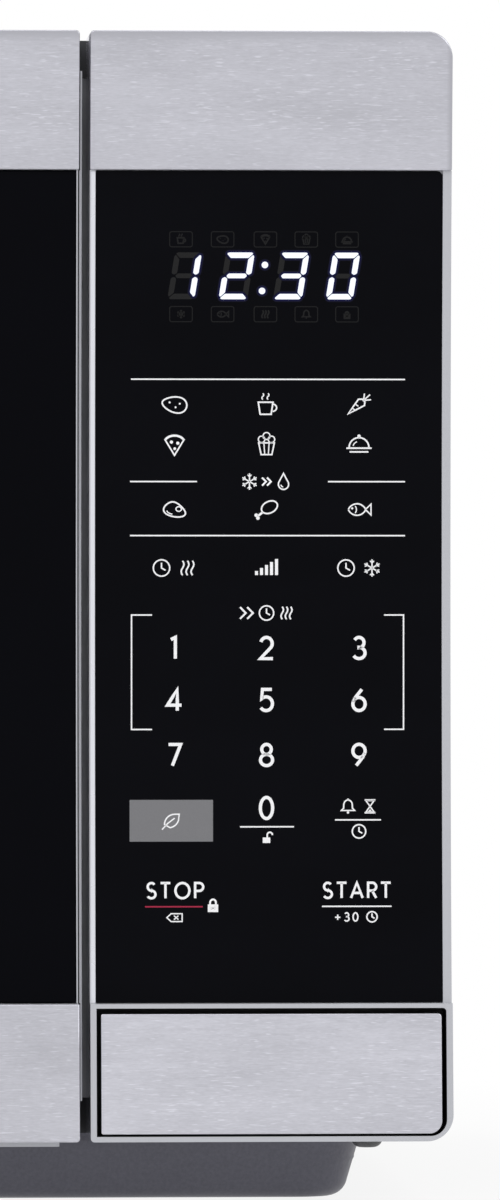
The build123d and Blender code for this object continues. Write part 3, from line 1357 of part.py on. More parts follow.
# Cooling fan: a plate with a ring and a bridge, the motor on the bridge and the blade inside the ring
fan_margin = 7.0
fan_plate_sheet = 2.0
fan_ring_lip = 4.0
fan_ring_depth = 24.0
fan_ring_wall = 2.0
fan_gap = 2.5
bridge_half = 7.0
bridge_bore = 4.0
leg_half = 3.0
leg_inset = 5.0
fan_motor_depth = 18.0
stator_depth = 12.6
stator_half = 24.0
coil_half = 14.0
coil_drop = 8.0
fan_back_gap = 1.5
blade_count = 5
blade_twist = 28.0
blade_sheet = 1.6
blade_chord = 26.0
blade_depth = 14.0
fan_hub_radius = 13.0
fan_shaft_radius = 2.0
fan_plate_half = (inside_right - bay_left) / 2 - fan_margin
fan_ring_radius = fan_plate_half - fan_ring_lip
fan_back = inside_back - fan_back_gap
fan_motor_front = fan_back - fan_motor_depth
ring_back = fan_motor_front - fan_plate_sheet
fan_plate_front = ring_back - fan_ring_depth - fan_plate_sheet
fan_plate_x = (fan_x - fan_plate_half, fan_x + fan_plate_half)
fan_plate_z = (fan_z - fan_plate_half, fan_z + fan_plate_half)
leg_z = fan_plate_z[1] - leg_inset
blade_y = ring_back - fan_gap - blade_depth / 2
blade_start = fan_hub_radius / 2
blade_length = fan_ring_radius - fan_gap - blade_start

with BuildPart() as fan_housing:
    span_box(fan_plate_x, (fan_plate_front, fan_plate_front + fan_plate_sheet), fan_plate_z)
    rod((fan_x, fan_plate_front, fan_z), (0, 1, 0), fan_ring_radius + fan_ring_wall,
        ring_back - fan_plate_front)
    rod((fan_x, fan_plate_front - cut_over, fan_z), (0, 1, 0), fan_ring_radius,
        ring_back - fan_plate_front + 2 * cut_over, mode=Mode.SUBTRACT)
    span_box((fan_x - fan_ring_radius - cut_over, fan_x + fan_ring_radius + cut_over),
             (ring_back, fan_motor_front), (fan_z - bridge_half, fan_z + bridge_half))
    rod((fan_x, ring_back - cut_over, fan_z), (0, 1, 0), bridge_bore, fan_plate_sheet + 2 * cut_over,
        mode=Mode.SUBTRACT)
    for x in (fan_plate_x[0] + leg_inset, fan_plate_x[1] - leg_inset):
        span_box((x - leg_half, x + leg_half), (fan_plate_front, inside_back),
                 (leg_z - leg_half, leg_z + leg_half))
fan_housing.part.label = "fan_housing"
export_step(fan_housing.part, "parts/fan_housing.step")

with BuildPart() as fan_motor:
    span_box((fan_x - stator_half, fan_x + stator_half), (fan_motor_front, fan_motor_front + stator_depth),
             (fan_z - stator_half, fan_z + stator_half))
    span_box((fan_x - coil_half, fan_x + coil_half), (fan_motor_front, fan_back),
             (fan_z - stator_half - coil_drop, fan_z - stator_half / 2))
    rod((fan_x, fan_motor_front - cut_over, fan_z), (0, 1, 0), fan_shaft_radius + pin_running_gap,
        fan_motor_depth + 2 * cut_over, mode=Mode.SUBTRACT)
fan_motor.part.label = "fan_motor"
export_step(fan_motor.part, "parts/fan_motor.step")

with BuildPart() as fan_blade:
    rod((fan_x, blade_y - blade_depth / 2, fan_z), (0, 1, 0), fan_hub_radius, blade_depth)
    for index in range(blade_count):
        angle = radians(index * 360.0 / blade_count)
        outward = (cos(angle), 0, sin(angle))
        with Locations(Plane(origin=(fan_x, blade_y, fan_z), x_dir=(0, 1, 0), z_dir=outward)):
            with Locations(Location((0, 0, blade_start), (0, 0, blade_twist))):
                Box(blade_sheet, blade_chord, blade_length, align=(Align.CENTER, Align.CENTER, Align.MIN))
    rod((fan_x, blade_y, fan_z), (0, 1, 0), fan_shaft_radius, fan_motor_front + stator_depth - blade_y)
fan_blade.part.label = "fan_blade"
export_step(fan_blade.part, "parts/fan_blade.step")

# Air duct from the fan to the magnetron
duct_wall = 1.5
duct_gap = 1.0
duct_y = (guide_y + yoke_half_width + duct_gap, fan_plate_front)
duct_z = (yoke_z[0], fan_plate_z[1])
with BuildPart() as air_duct:
    span_box(yoke_x, duct_y, duct_z)
    span_box((yoke_x[0] + duct_wall, yoke_x[1] - duct_wall), (duct_y[0] - cut_over, duct_y[1] + cut_over),
             (duct_z[0] + duct_wall, duct_z[1] - duct_wall), mode=Mode.SUBTRACT)
air_duct.part.label = "air_duct"
export_step(air_duct.part, "parts/air_duct.step")

# Cavity lamp behind its perforations, in a holder on the cavity's side
holder_half = 18.0
holder_depth = 40.0
holder_sheet = 1.0
bulb_radius = 9.0
bulb_neck = 5.0
bulb_gap = 4.0
socket_radius = 8.5
socket_length = 14.0
bulb_x = bay_left + bulb_radius + bulb_gap
holder_right = bay_left + holder_depth - holder_sheet
socket_x = holder_right - socket_length
with BuildPart() as lamp_holder:
    span_box((bay_left, bay_left + holder_depth), (lamp_y - holder_half, lamp_y + holder_half),
             (lamp_z - holder_half, lamp_z + holder_half))
    span_box((bay_left - cut_over, holder_right),
             (lamp_y - holder_half + holder_sheet, lamp_y + holder_half - holder_sheet),
             (lamp_z - holder_half + holder_sheet, lamp_z + holder_half - holder_sheet), mode=Mode.SUBTRACT)
    rod((socket_x, lamp_y, lamp_z), (1, 0, 0), socket_radius, socket_length)
lamp_holder.part.label = "lamp_holder"
export_step(lamp_holder.part, "parts/lamp_holder.step")

with BuildPart() as lamp_bulb:
    with Locations(Plane(origin=(bulb_x, lamp_y, lamp_z), z_dir=(1, 0, 0))):
        Sphere(bulb_radius)
    rod((bulb_x, lamp_y, lamp_z), (1, 0, 0), bulb_neck, socket_x - bulb_x)
lamp_bulb.part.label = "lamp_bulb"
export_step(lamp_bulb.part, "parts/lamp_bulb.step")

# Thermal cut-outs: one on the cavity, one on the magnetron's yoke
cutout_radius = 8.0
cutout_height = 6.0
cutout_setback = 24.0
cutout_drop = 22.0
with BuildPart() as thermal_cutouts:
    rod((bay_left, lamp_y + holder_half + cutout_setback, cavity_high - cutout_drop), (1, 0, 0),
        cutout_radius, cutout_height)
    rod(((yoke_x[0] + yoke_x[1]) / 2, guide_y, yoke_z[1]), (0, 0, 1), cutout_radius, cutout_height)
thermal_cutouts.part.label = "thermal_cutouts"
export_step(thermal_cutouts.part, "parts/thermal_cutouts.step")

# Mains filter board on standoffs from the rear panel, with its coil and capacitor
filter_standoff = 9.0
filter_width = 64.0
filter_reach = 2.0
filter_rise = 10.0
filter_drop = 24.0
standoff_inset = 5.0
coil_radius = 11.0
coil_depth = 14.0
coil_inset = 20.0
block_depth = 10.0
block_width = 18.0
block_inset = 8.0
filter_x = (inlet_x + filter_reach - filter_width, inlet_x + filter_reach)
filter_z = (fan_plate_z[1] + filter_rise, inside_high - filter_drop)
filter_back = inside_back - filter_standoff
filter_front = filter_back - board_thickness
with BuildPart() as noise_filter_board:
    span_box(filter_x, (filter_front, filter_back), filter_z)
    for x in (filter_x[0] + standoff_inset, filter_x[1] - standoff_inset):
        for z in (filter_z[0] + standoff_inset, filter_z[1] - standoff_inset):
            rod((x, filter_back, z), (0, 1, 0), board_post_radius, filter_standoff)
    rod((filter_x[0] + coil_inset, filter_front - coil_depth, (filter_z[0] + filter_z[1]) / 2), (0, 1, 0),
        coil_radius, coil_depth)
    span_box((filter_x[1] - block_inset - block_width, filter_x[1] - block_inset),
             (filter_front - block_depth, filter_front),
             (filter_z[0] + block_inset, filter_z[1] - block_inset))
noise_filter_board.part.label = "noise_filter_board"
export_step(noise_filter_board.part, "parts/noise_filter_board.step")
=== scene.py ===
"""Looks of a countertop microwave oven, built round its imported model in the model's own frame."""

import json
import logging
from dataclasses import dataclass, field, replace
from enum import Enum
from math import atan2, cos, pi, radians, sin, sqrt
from typing import Any, Iterable

import bmesh
import bpy
from bmesh.types import BMesh
from bpy.types import Material, Mesh, Node, NodeSocket, Object
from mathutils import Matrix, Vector


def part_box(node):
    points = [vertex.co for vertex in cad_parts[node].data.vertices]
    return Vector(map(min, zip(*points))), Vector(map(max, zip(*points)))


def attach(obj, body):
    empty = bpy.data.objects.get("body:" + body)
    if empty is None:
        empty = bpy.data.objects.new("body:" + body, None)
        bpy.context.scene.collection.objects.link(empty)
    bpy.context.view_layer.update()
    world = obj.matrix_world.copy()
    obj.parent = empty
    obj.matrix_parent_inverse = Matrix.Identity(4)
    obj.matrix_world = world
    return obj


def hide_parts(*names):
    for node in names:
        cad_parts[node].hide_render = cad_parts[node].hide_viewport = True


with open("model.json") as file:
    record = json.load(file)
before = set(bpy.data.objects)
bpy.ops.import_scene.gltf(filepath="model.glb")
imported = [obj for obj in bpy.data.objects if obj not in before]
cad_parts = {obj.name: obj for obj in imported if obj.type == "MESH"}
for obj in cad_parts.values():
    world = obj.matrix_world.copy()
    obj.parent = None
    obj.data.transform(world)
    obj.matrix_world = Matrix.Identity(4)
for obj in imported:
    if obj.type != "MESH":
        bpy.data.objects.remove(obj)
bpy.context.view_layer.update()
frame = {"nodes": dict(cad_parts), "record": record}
LOG = logging.getLogger("microwave")

Point = tuple[float, float]
Place = tuple[float, float, float]
Colour = tuple[float, float, float, float]
Box = tuple[float, float, float, float]
Radii = tuple[float, float, float, float]
Inputs = dict[str, Any]

MERGE_REACH = 2e-6
CUT_REACH = 1e-8
FLAT_WITHIN = 0.15
BROKEN_SHARP_OVER = 50.0
FRONT_LEVELS = 28
WHITE = (1.0, 1.0, 1.0, 1.0)


class Slot(Enum):
    """The record's material slots."""

    CASE = "case_paint"
    BASE = "base_paint"
    GALVANISED = "galvanised"
    FRONT = "front_enamel"
    CAVITY = "cavity_enamel"
    RUBBER = "foot_rubber"
    BLACK = "black_plastic"
    SCREW = "screw_steel"
    SILVER = "silver_plastic"
    TINT = "door_tint"
    STEEL = "brushed_steel"
    DOOR_PAN = "door_pan_paint"
    FILM = "clear_film"
    OVERLAY = "overlay_gloss"
    BOARD = "board_laminate"
    DISPLAY = "display_black"
    MOTOR = "motor_steel"
    COUPLER = "coupler_plastic"
    TRAY = "tray_glass"
    MICA = "mica"
    COPPER = "copper"
    ALUMINIUM = "fin_aluminium"
    CORE = "core_steel"
    EPOXY = "diode_epoxy"


class Nodes:
    """A node tree, with short calls that add and join its nodes."""

    def __init__(self, tree: bpy.types.NodeTree) -> None:
        """Takes up an empty tree."""
        self.tree = tree

    def add(self, kind: str, inputs: dict[Any, Any] | None = None, **settings: Any) -> Node:
        """Adds a node.

        Args:
            kind: the node's type.
            inputs: a socket or a value for each input, by its name or its place.
            settings: the node's own properties.

        Returns:
            The new node.
        """
        node = self.tree.nodes.new(kind)
        for key, value in settings.items():
            setattr(node, key, value)
        for key, value in (inputs or {}).items():
            self.feed(node.inputs[key], value)
        return node

    def feed(self, socket: NodeSocket, value: Any) -> None:
        """Links a socket to an input, or sets the input's value.

        Args:
            socket: the input.
            value: a socket or a plain value.
        """
        if isinstance(value, NodeSocket):
            self.tree.links.new(value, socket)
        else:
            socket.default_value = value

    def joined(self, *parts: NodeSocket) -> NodeSocket:
        """Joins several geometries into one.

        Args:
            parts: the geometries.

        Returns:
            The joined geometry.
        """
        join = self.add("GeometryNodeJoinGeometry")
        for part in parts:
            self.feed(join.inputs[0], part)
        return join.outputs[0]

    def remap(self, value: Any, low: float, high: float, to_low: float = 0.0,
              to_high: float = 1.0) -> NodeSocket:
        """Stretches a range of values onto another, held at its ends."""
        return self.add("ShaderNodeMapRange", {
            "Value": value, "From Min": low, "From Max": high, "To Min": to_low,
            "To Max": to_high}).outputs["Result"]

    def reckon(self, operation: str, first: Any, second: Any) -> NodeSocket:
        """Joins two values by an arithmetic operation."""
        return self.add("ShaderNodeMath", {0: first, 1: second}, operation=operation).outputs[0]

    def in_view(self) -> NodeSocket:
        """Marks what is seen straight, through glass or in a polished face.

        Returns:
            1 for such a ray and 0 for any other.
        """
        path = self.add("ShaderNodeLightPath").outputs
        seen = self.reckon("MAXIMUM", path["Is Camera Ray"], path["Is Glossy Ray"])
        return self.reckon("MAXIMUM", seen, path["Is Transmission Ray"])


class Graph(Nodes):
    """One material's node tree."""

    def __init__(self, name: str) -> None:
        """Starts an empty material.

        Args:
            name: the material's name.
        """
        self.material = bpy.data.materials.new(name)
        self.material.use_nodes = True
        super().__init__(self.material.node_tree)
        self.tree.nodes.clear()
        self.place = self.add("ShaderNodeTexCoord").outputs["Object"]

    def noise(self, scale: float | Place, detail: float = 2.0, rough: float = 0.55,
              warp: float = 0.0) -> NodeSocket:
        """Adds a noise, the same along each axis or with a scale for each.

        Args:
            scale: features per metre, or those along X, Y and Z.
            detail: how many finer octaves are added.
            rough: how strong the finer octaves are.
            warp: how far the pattern is bent.

        Returns:
            The noise's strength, from 0 to 1.
        """
        scale = scale if isinstance(scale, tuple) else (scale,) * 3
        spread = self.add("ShaderNodeMapping", {"Vector": self.place, "Scale": scale})
        return self.add("ShaderNodeTexNoise", {
            "Vector": spread.outputs["Vector"], "Scale": 1.0, "Detail": detail, "Roughness": rough,
            "Distortion": warp}).outputs["Fac"]

    def cells(self, scale: float, feature: str = "F1") -> Node:
        """Adds a cell pattern with so many cells per metre."""
        return self.add("ShaderNodeTexVoronoi", {"Vector": self.place, "Scale": scale}, feature=feature)

    def axes(self, vector: Any = None) -> Any:
        """Returns X, Y and Z of a vector, or else of the place."""
        return self.add("ShaderNodeSeparateXYZ", {"Vector": vector or self.place}).outputs

    def sum(self, *shares: tuple[Any, float]) -> NodeSocket:
        """Adds up several values, each times its share.

        Args:
            shares: each value and its share.

        Returns:
            The sum.
        """
        total: Any = 0.0
        for value, share in shares:
            node = self.add("ShaderNodeMath", operation="MULTIPLY_ADD")
            for socket, part in zip(node.inputs, (value, share, total)):
                self.feed(socket, part)
            total = node.outputs["Value"]
        return total

    def blend(self, share: Any, first: Any, second: Any) -> NodeSocket:
        """Mixes two colours.

        Args:
            share: how much of the second colour shows.
            first: the colour at 0.
            second: the colour at 1.

        Returns:
            The mixed colour.
        """
        node = self.add("ShaderNodeMix", data_type="RGBA")
        for index, value in ((0, share), (6, first), (7, second)):
            self.feed(node.inputs[index], value)
        return node.outputs[2]

    def tones(self, share: Any, colour: Colour, dark: float, light: float) -> NodeSocket:
        """Mixes a darker and a lighter tone of one colour.

        Args:
            share: how much of the lighter tone shows.
            colour: the colour.
            dark: the darker tone's factor.
            light: the lighter tone's factor.

        Returns:
            The mixed tone.
        """
        return self.blend(share, shade(colour, dark), shade(colour, light))

    def within(self, box: Box, blur: float = 0.00003) -> NodeSocket:
        """Marks the faces that look forwards inside a box of X and Z.

        Args:
            box: the box's left, right, low and high.
            blur: how soft its edges are.

        Returns:
            1 inside the box and 0 outside it.
        """
        place = self.axes()
        forward = self.axes(self.add("ShaderNodeTexCoord").outputs["Normal"])["Y"]
        share = self.remap(forward, -0.45, -0.25, 1.0, 0.0)
        for axis, low, high in (("X", box[0], box[1]), ("Z", box[2], box[3])):
            for start, stop in ((low - blur, low + blur), (high + blur, high - blur)):
                share = self.reckon("MULTIPLY", share, self.remap(place[axis], start, stop))
        return share

    def bump(self, height: Any, strength: float, depth: float) -> NodeSocket:
        """Turns a height into a surface normal; depth is in metres."""
        return self.add("ShaderNodeBump", {
            "Height": height, "Strength": strength, "Distance": depth}).outputs["Normal"]

    def finish(self, **inputs: Any) -> Material:
        """Ends the tree in one surface shader.

        Args:
            inputs: the shader's inputs, with underscores for the spaces in their names.

        Returns:
            The finished material.
        """
        shader = self.add("ShaderNodeBsdfPrincipled", {k.replace("_", " "): v for k, v in inputs.items()})
        self.add("ShaderNodeOutputMaterial", {"Surface": shader.outputs["BSDF"]})
        return self.material


def shade(colour: Colour, factor: float) -> Colour:
    """Returns a colour made lighter or darker."""
    return (colour[0] * factor, colour[1] * factor, colour[2] * factor, 1.0)


class Finish:
    """A way to finish a surface."""

    def make(self, name: str) -> Material:
        """Makes the finish's material.

        Args:
            name: the material's name.

        Returns:
            The material.
        """
        g = Graph(name)
        return g.finish(**self.inputs(g))

    def inputs(self, g: Graph) -> Inputs:
        """Lays out the finish's pattern.

        Args:
            g: the material's graph.

        Returns:
            The surface shader's inputs, with underscores for the spaces in their names.
        """
        raise NotImplementedError


@dataclass(frozen=True)
class BrushedSteel(Finish):
    """Stainless sheet, brushed along the width, darkened towards its right and top edges as painted shade."""

    colour: Colour = (0.546, 0.546, 0.598, 1.0)
    contrast: float = 0.105
    fleck: float = 0.20
    painted_edge_shade: float = 0.80
    fine_lines: Place = (560.0, 560.0, 3400.0)
    streaks: Place = (190.0, 190.0, 2300.0)
    clouds: Place = (26.0, 26.0, 95.0)
    fleck_lines: Place = (300.0, 300.0, 2600.0)
    shade_edge_x: Point = (0.2549, 0.2561)
    shade_edge_z: Point = (0.3088, 0.3116)

    def inputs(self, g: Graph) -> Inputs:
        """Lays out the steel's fine lines and flecks, and the painted shade along its right and top edges."""
        fine = g.noise(self.fine_lines, 2.0, 0.6)
        mixed = g.sum((fine, 0.38), (g.noise(self.streaks, 2.0, 0.5), 0.29),
                      (g.noise(self.clouds, 2.0, 0.5), 0.33))
        colour = g.tones(g.remap(mixed, 0.36, 0.66), self.colour, 1 - self.contrast, 1 + self.contrast)
        flecks = g.remap(g.noise(self.fleck_lines, 1.0), 0.62, 0.74)
        colour = g.blend(flecks, colour, shade(self.colour, 1 + self.fleck))
        place = g.axes()
        # Painted shade: the colour darkens towards the right and top edges, where the sheet curves away from
        # the light.
        rolled_edge_shade = g.reckon("MAXIMUM", g.remap(place["X"], *self.shade_edge_x), g.remap(place["Z"], *self.shade_edge_z))
        colour = g.blend(rolled_edge_shade, colour, shade(self.colour, self.painted_edge_shade))
        tangent = g.add("ShaderNodeTangent", direction_type="RADIAL", axis="Z").outputs["Tangent"]
        return dict(Base_Color=colour, Metallic=1.0, Roughness=g.remap(mixed, 0.35, 0.65, 0.30, 0.42),
                    Anisotropic=0.45, Tangent=tangent, Normal=g.bump(fine, 0.12, 0.00004))


@dataclass(frozen=True)
class MetallicPaint(Finish):
    """Satin paint with fine metal flakes in it."""

    colour: Colour
    metal: float = 0.7
    roughness: float = 0.32
    flake: float = 0.06
    mottle: float = 0.0
    shade_lines: tuple[Box, ...] = ()
    shade_line_colour: Colour = (0.003, 0.003, 0.005, 1.0)
    flake_scale: float = 5200.0
    cloud_scale: float = 40.0
    mottle_scale: float = 1100.0
    peel_scale: float = 900.0

    def inputs(self, g: Graph) -> Inputs:
        """Lays out the paint's flakes, and its painted shade lines where it has them."""
        flakes = g.cells(self.flake_scale).outputs["Distance"]
        cloud = g.noise(self.cloud_scale, 3.0)
        light = g.sum((g.remap(flakes, 0.1, 0.9, 1.0, 0.0), 0.6), (cloud, 0.4))
        colour = g.tones(light, self.colour, 1 - self.flake, 1 + self.flake)
        if self.mottle > 0:
            patches = g.remap(g.noise(self.mottle_scale, 3.0, 0.7), 0.35, 0.65)
            colour = g.tones(patches, self.colour, 1 - self.mottle, 1 + self.mottle)
        # Painted shade: inside each box the forward faces darken, standing in for the shadow line at the
        # door's right edge.
        for box in self.shade_lines:
            colour = g.blend(g.within(box), colour, self.shade_line_colour)
        peel = g.noise(self.peel_scale, 1.0)
        rough = g.remap(cloud, 0.3, 0.7, self.roughness * 0.9, self.roughness * 1.12)
        return dict(Base_Color=colour, Metallic=self.metal, Roughness=rough,
                    Normal=g.bump(peel, 0.06, 0.00005))


@dataclass(frozen=True)
class SheetPaint(Finish):
    """Powder coat or enamel on sheet steel, with a faint orange peel."""

    colour: Colour
    roughness: float = 0.4
    peel: float = 0.16
    peel_scale: float = 850.0
    speck: float = 0.0
    coat: float = 0.0
    cloud_scale: float = 9.0
    speck_scale: float = 620.0
    wear_scale: float = 70.0

    def inputs(self, g: Graph) -> Inputs:
        """Lays out the coating's orange peel and specks."""
        colour = g.tones(g.remap(g.noise(self.cloud_scale, 3.0), 0.3, 0.7), self.colour, 0.95, 1.05)
        if self.speck > 0:
            dots = g.remap(g.cells(self.speck_scale).outputs["Distance"], 0.10, 0.17, self.speck, 0.0)
            colour = g.blend(dots, colour, shade(self.colour, 0.3))
        peel = g.noise(self.peel_scale)
        rough = g.remap(g.noise(self.wear_scale), 0.3, 0.7, self.roughness * 0.88, self.roughness * 1.1)
        return dict(Base_Color=colour, Roughness=rough, Coat_Weight=self.coat, Coat_Roughness=0.15,
                    Normal=g.bump(peel, self.peel, 0.00012))


@dataclass(frozen=True)
class MouldedPlastic(Finish):
    """Plastic with a fine spark-eroded grain."""

    colour: Colour
    roughness: float = 0.5
    grain: float = 0.25
    grain_scale: float = 1900.0
    coarse_scale: float = 320.0
    cloud_scale: float = 14.0

    def inputs(self, g: Graph) -> Inputs:
        """Lays out the plastic's grain."""
        grain = g.sum((g.noise(self.grain_scale), 0.7), (g.noise(self.coarse_scale, 1.0), 0.3))
        colour = g.tones(g.noise(self.cloud_scale), self.colour, 0.92, 1.08)
        rough = g.remap(grain, 0.3, 0.7, self.roughness * 0.9, self.roughness * 1.1)
        return dict(Base_Color=colour, Roughness=rough, Normal=g.bump(grain, self.grain, 0.00006))


@dataclass(frozen=True)
class ZincSheet(Finish):
    """Zinc-coated or mill-finish sheet, with pale crystals and rolling lines."""

    colour: Colour
    roughness: float = 0.42
    crystal: float = 130.0
    spread: float = 0.14
    rolling: Place = (30.0, 30.0, 700.0)

    def inputs(self, g: Graph) -> Inputs:
        """Lays out the sheet's crystals and rolling lines."""
        spangle = g.cells(self.crystal).outputs["Color"]
        tone = g.add("ShaderNodeSeparateColor", {"Color": spangle}).outputs["Red"]
        roll = g.noise(self.rolling)
        colour = g.tones(g.sum((tone, 0.6), (roll, 0.4)), self.colour, 1 - self.spread, 1 + self.spread)
        return dict(Base_Color=colour, Metallic=0.9, Normal=g.bump(roll, 0.08, 0.00004),
                    Roughness=g.remap(tone, 0.0, 1.0, self.roughness * 0.8, self.roughness * 1.2))


@dataclass(frozen=True)
class PlatedMetal(Finish):
    """Bright plated metal, with turning marks and a little dullness."""

    colour: Colour
    roughness: float = 0.22
    turning: Place = (400.0, 400.0, 1600.0)
    cloud_scale: float = 120.0

    def inputs(self, g: Graph) -> Inputs:
        """Lays out the plating's turning marks."""
        mark = g.noise(self.turning, 3.0)
        cloud = g.noise(self.cloud_scale)
        colour = g.tones(cloud, self.colour, 0.85, 1.08)
        return dict(Base_Color=colour, Metallic=1.0, Normal=g.bump(mark, 0.1, 0.00003),
                    Roughness=g.remap(cloud, 0.3, 0.7, self.roughness * 0.7, self.roughness * 1.4))


@dataclass(frozen=True)
class Banded(Finish):
    """Wound wire or stacked sheets: fine bands along one axis."""

    dark: Colour
    light: Colour
    axis: str
    bands: float
    metal: float
    roughness: float
    relief: float = 0.5
    stain_scale: float = 60.0

    def inputs(self, g: Graph) -> Inputs:
        """Lays out the bands and their stains."""
        wave = g.add("ShaderNodeTexWave", {
            "Vector": g.place, "Scale": self.bands, "Distortion": 0.25, "Detail": 1.0, "Detail Scale": 8.0},
            wave_type="BANDS", bands_direction=self.axis, wave_profile="SIN").outputs["Fac"]
        stain = g.noise(self.stain_scale, 3.0)
        light = g.sum((wave, 0.75), (stain, 0.25))
        return dict(Base_Color=g.blend(light, self.dark, self.light), Metallic=self.metal,
                    Roughness=g.remap(stain, 0.3, 0.7, self.roughness * 0.8, self.roughness * 1.2),
                    Normal=g.bump(wave, self.relief, 0.0003))


@dataclass(frozen=True)
class GlossOverlay(Finish):
    """Polished black touch overlay, nearly free of marks."""

    colour: Colour = (0.0019, 0.0020, 0.0033, 1.0)
    roughness: float = 0.12
    specular: float = 0.035
    smears: Place = (18.0, 18.0, 34.0)
    dust_scale: float = 2600.0

    def inputs(self, g: Graph) -> Inputs:
        """Lays out the overlay's smears and dust."""
        smear = g.noise(self.smears, 4.0, 0.6, 0.4)
        dust = g.noise(self.dust_scale, 1.0)
        colour = g.tones(g.remap(smear, 0.35, 0.7), self.colour, 0.9, 1.15)
        rough = g.sum((g.remap(smear, 0.3, 0.75, self.roughness * 0.7, self.roughness * 1.6), 1.0),
                      (g.remap(dust, 0.6, 0.75, 0.0, 0.04), 1.0))
        return dict(Base_Color=colour, Roughness=rough, Specular_IOR_Level=self.specular)


@dataclass(frozen=True)
class TintedGlass(Finish):
    """Dark tinted door glass: nearly clear over the window, with a black printed border round it."""

    colour: Colour = (0.0012, 0.0013, 0.0026, 1.0)
    cover: float = 0.88
    specular: float = 0.035
    window_x: Point = (-0.219, 0.107)
    window_z: Point = (0.065, 0.249)
    fade: float = 0.004
    smears: Place = (10.0, 10.0, 18.0)

    def inputs(self, g: Graph) -> Inputs:
        """Lays out the glass's smears and its printed border."""
        smear = g.noise(self.smears, 3.0, 0.6, 0.5)
        place = g.axes()
        inside: Any = 1.0
        for axis, (low, high) in (("X", self.window_x), ("Z", self.window_z)):
            for edge, inner in ((low, low + self.fade), (high, high - self.fade)):
                inside = g.reckon("MULTIPLY", inside, g.remap(place[axis], edge, inner))
        return dict(Base_Color=g.tones(smear, self.colour, 0.8, 1.2), Specular_IOR_Level=self.specular,
                    Alpha=g.remap(inside, 0.0, 1.0, 1.0, self.cover),
                    Roughness=g.remap(smear, 0.35, 0.7, 0.03, 0.09))


@dataclass(frozen=True)
class ClearGlass(Finish):
    """Clear glass or film, pressed or drawn."""

    colour: Colour
    pass_through: float = 1.0
    roughness: float = 0.03
    ripple: float = 0.12
    cover: float = 1.0
    wave_scale: float = 90.0

    def inputs(self, g: Graph) -> Inputs:
        """Lays out the glass's ripple."""
        wave = g.noise(self.wave_scale)
        colour = g.tones(wave, self.colour, 0.97, 1.0)
        return dict(Base_Color=colour, Transmission_Weight=self.pass_through, IOR=1.5, Alpha=self.cover,
                    Roughness=g.remap(wave, 0.3, 0.7, self.roughness * 0.6, self.roughness * 1.6),
                    Normal=g.bump(wave, self.ripple, 0.0004))


@dataclass(frozen=True)
class Laminate(Finish):
    """Brown board with paler tracks under its lacquer."""

    colour: Colour = (0.20, 0.13, 0.05, 1.0)
    track: Colour = (0.33, 0.24, 0.09, 1.0)
    track_scale: float = 210.0
    fibres: Place = (500.0, 60.0, 500.0)

    def inputs(self, g: Graph) -> Inputs:
        """Lays out the board's tracks and fibres."""
        edge = g.cells(self.track_scale, "DISTANCE_TO_EDGE").outputs["Distance"]
        lines = g.remap(edge, 0.05, 0.09, 1.0, 0.0)
        fibre = g.noise(self.fibres)
        base = g.tones(fibre, self.colour, 0.85, 1.12)
        return dict(Base_Color=g.blend(lines, base, self.track), Normal=g.bump(lines, 0.2, 0.00008),
                    Roughness=g.remap(fibre, 0.3, 0.7, 0.28, 0.42))


@dataclass(frozen=True)
class Mica(Finish):
    """Pressed mica sheet, flaky and slightly pearly."""

    colour: Colour = (0.48, 0.43, 0.34, 1.0)
    flake_scale: float = 260.0

    def inputs(self, g: Graph) -> Inputs:
        """Lays out the sheet's flakes."""
        flakes = g.cells(self.flake_scale).outputs["Color"]
        tone = g.add("ShaderNodeSeparateColor", {"Color": flakes}).outputs["Green"]
        colour = g.tones(tone, self.colour, 0.75, 1.2)
        return dict(Base_Color=colour, Metallic=0.15, Roughness=g.remap(tone, 0.0, 1.0, 0.3, 0.55),
                    Normal=g.bump(tone, 0.2, 0.0001))


@dataclass(frozen=True)
class PrintInk(Finish):
    """Screen-printed ink, very slightly uneven."""

    colour: Colour = (0.88, 0.88, 0.90, 1.0)
    edge_scale: float = 2400.0

    def inputs(self, g: Graph) -> Inputs:
        """Lays out the ink's uneven tone."""
        edge = g.noise(self.edge_scale)
        colour = g.tones(g.remap(edge, 0.35, 0.65), self.colour, 0.95, 1.0)
        return dict(Base_Color=colour, Roughness=g.remap(edge, 0.3, 0.7, 0.45, 0.6),
                    Specular_IOR_Level=0.2)


@dataclass(frozen=True)
class DisplayLight(Finish):
    """A lit segment, or the faint halo round it."""

    colour: Colour
    strength: float
    under: Colour = (0.002, 0.002, 0.003, 1.0)
    grain_scale: float = 1500.0

    def inputs(self, g: Graph) -> Inputs:
        """Lays out the light and the dark under it."""
        under = g.tones(g.noise(self.grain_scale, 1.0), self.under, 1.0, 2.0)
        return dict(Base_Color=under, Roughness=0.6, Specular_IOR_Level=0.1, Emission_Color=self.colour,
                    Emission_Strength=self.strength)


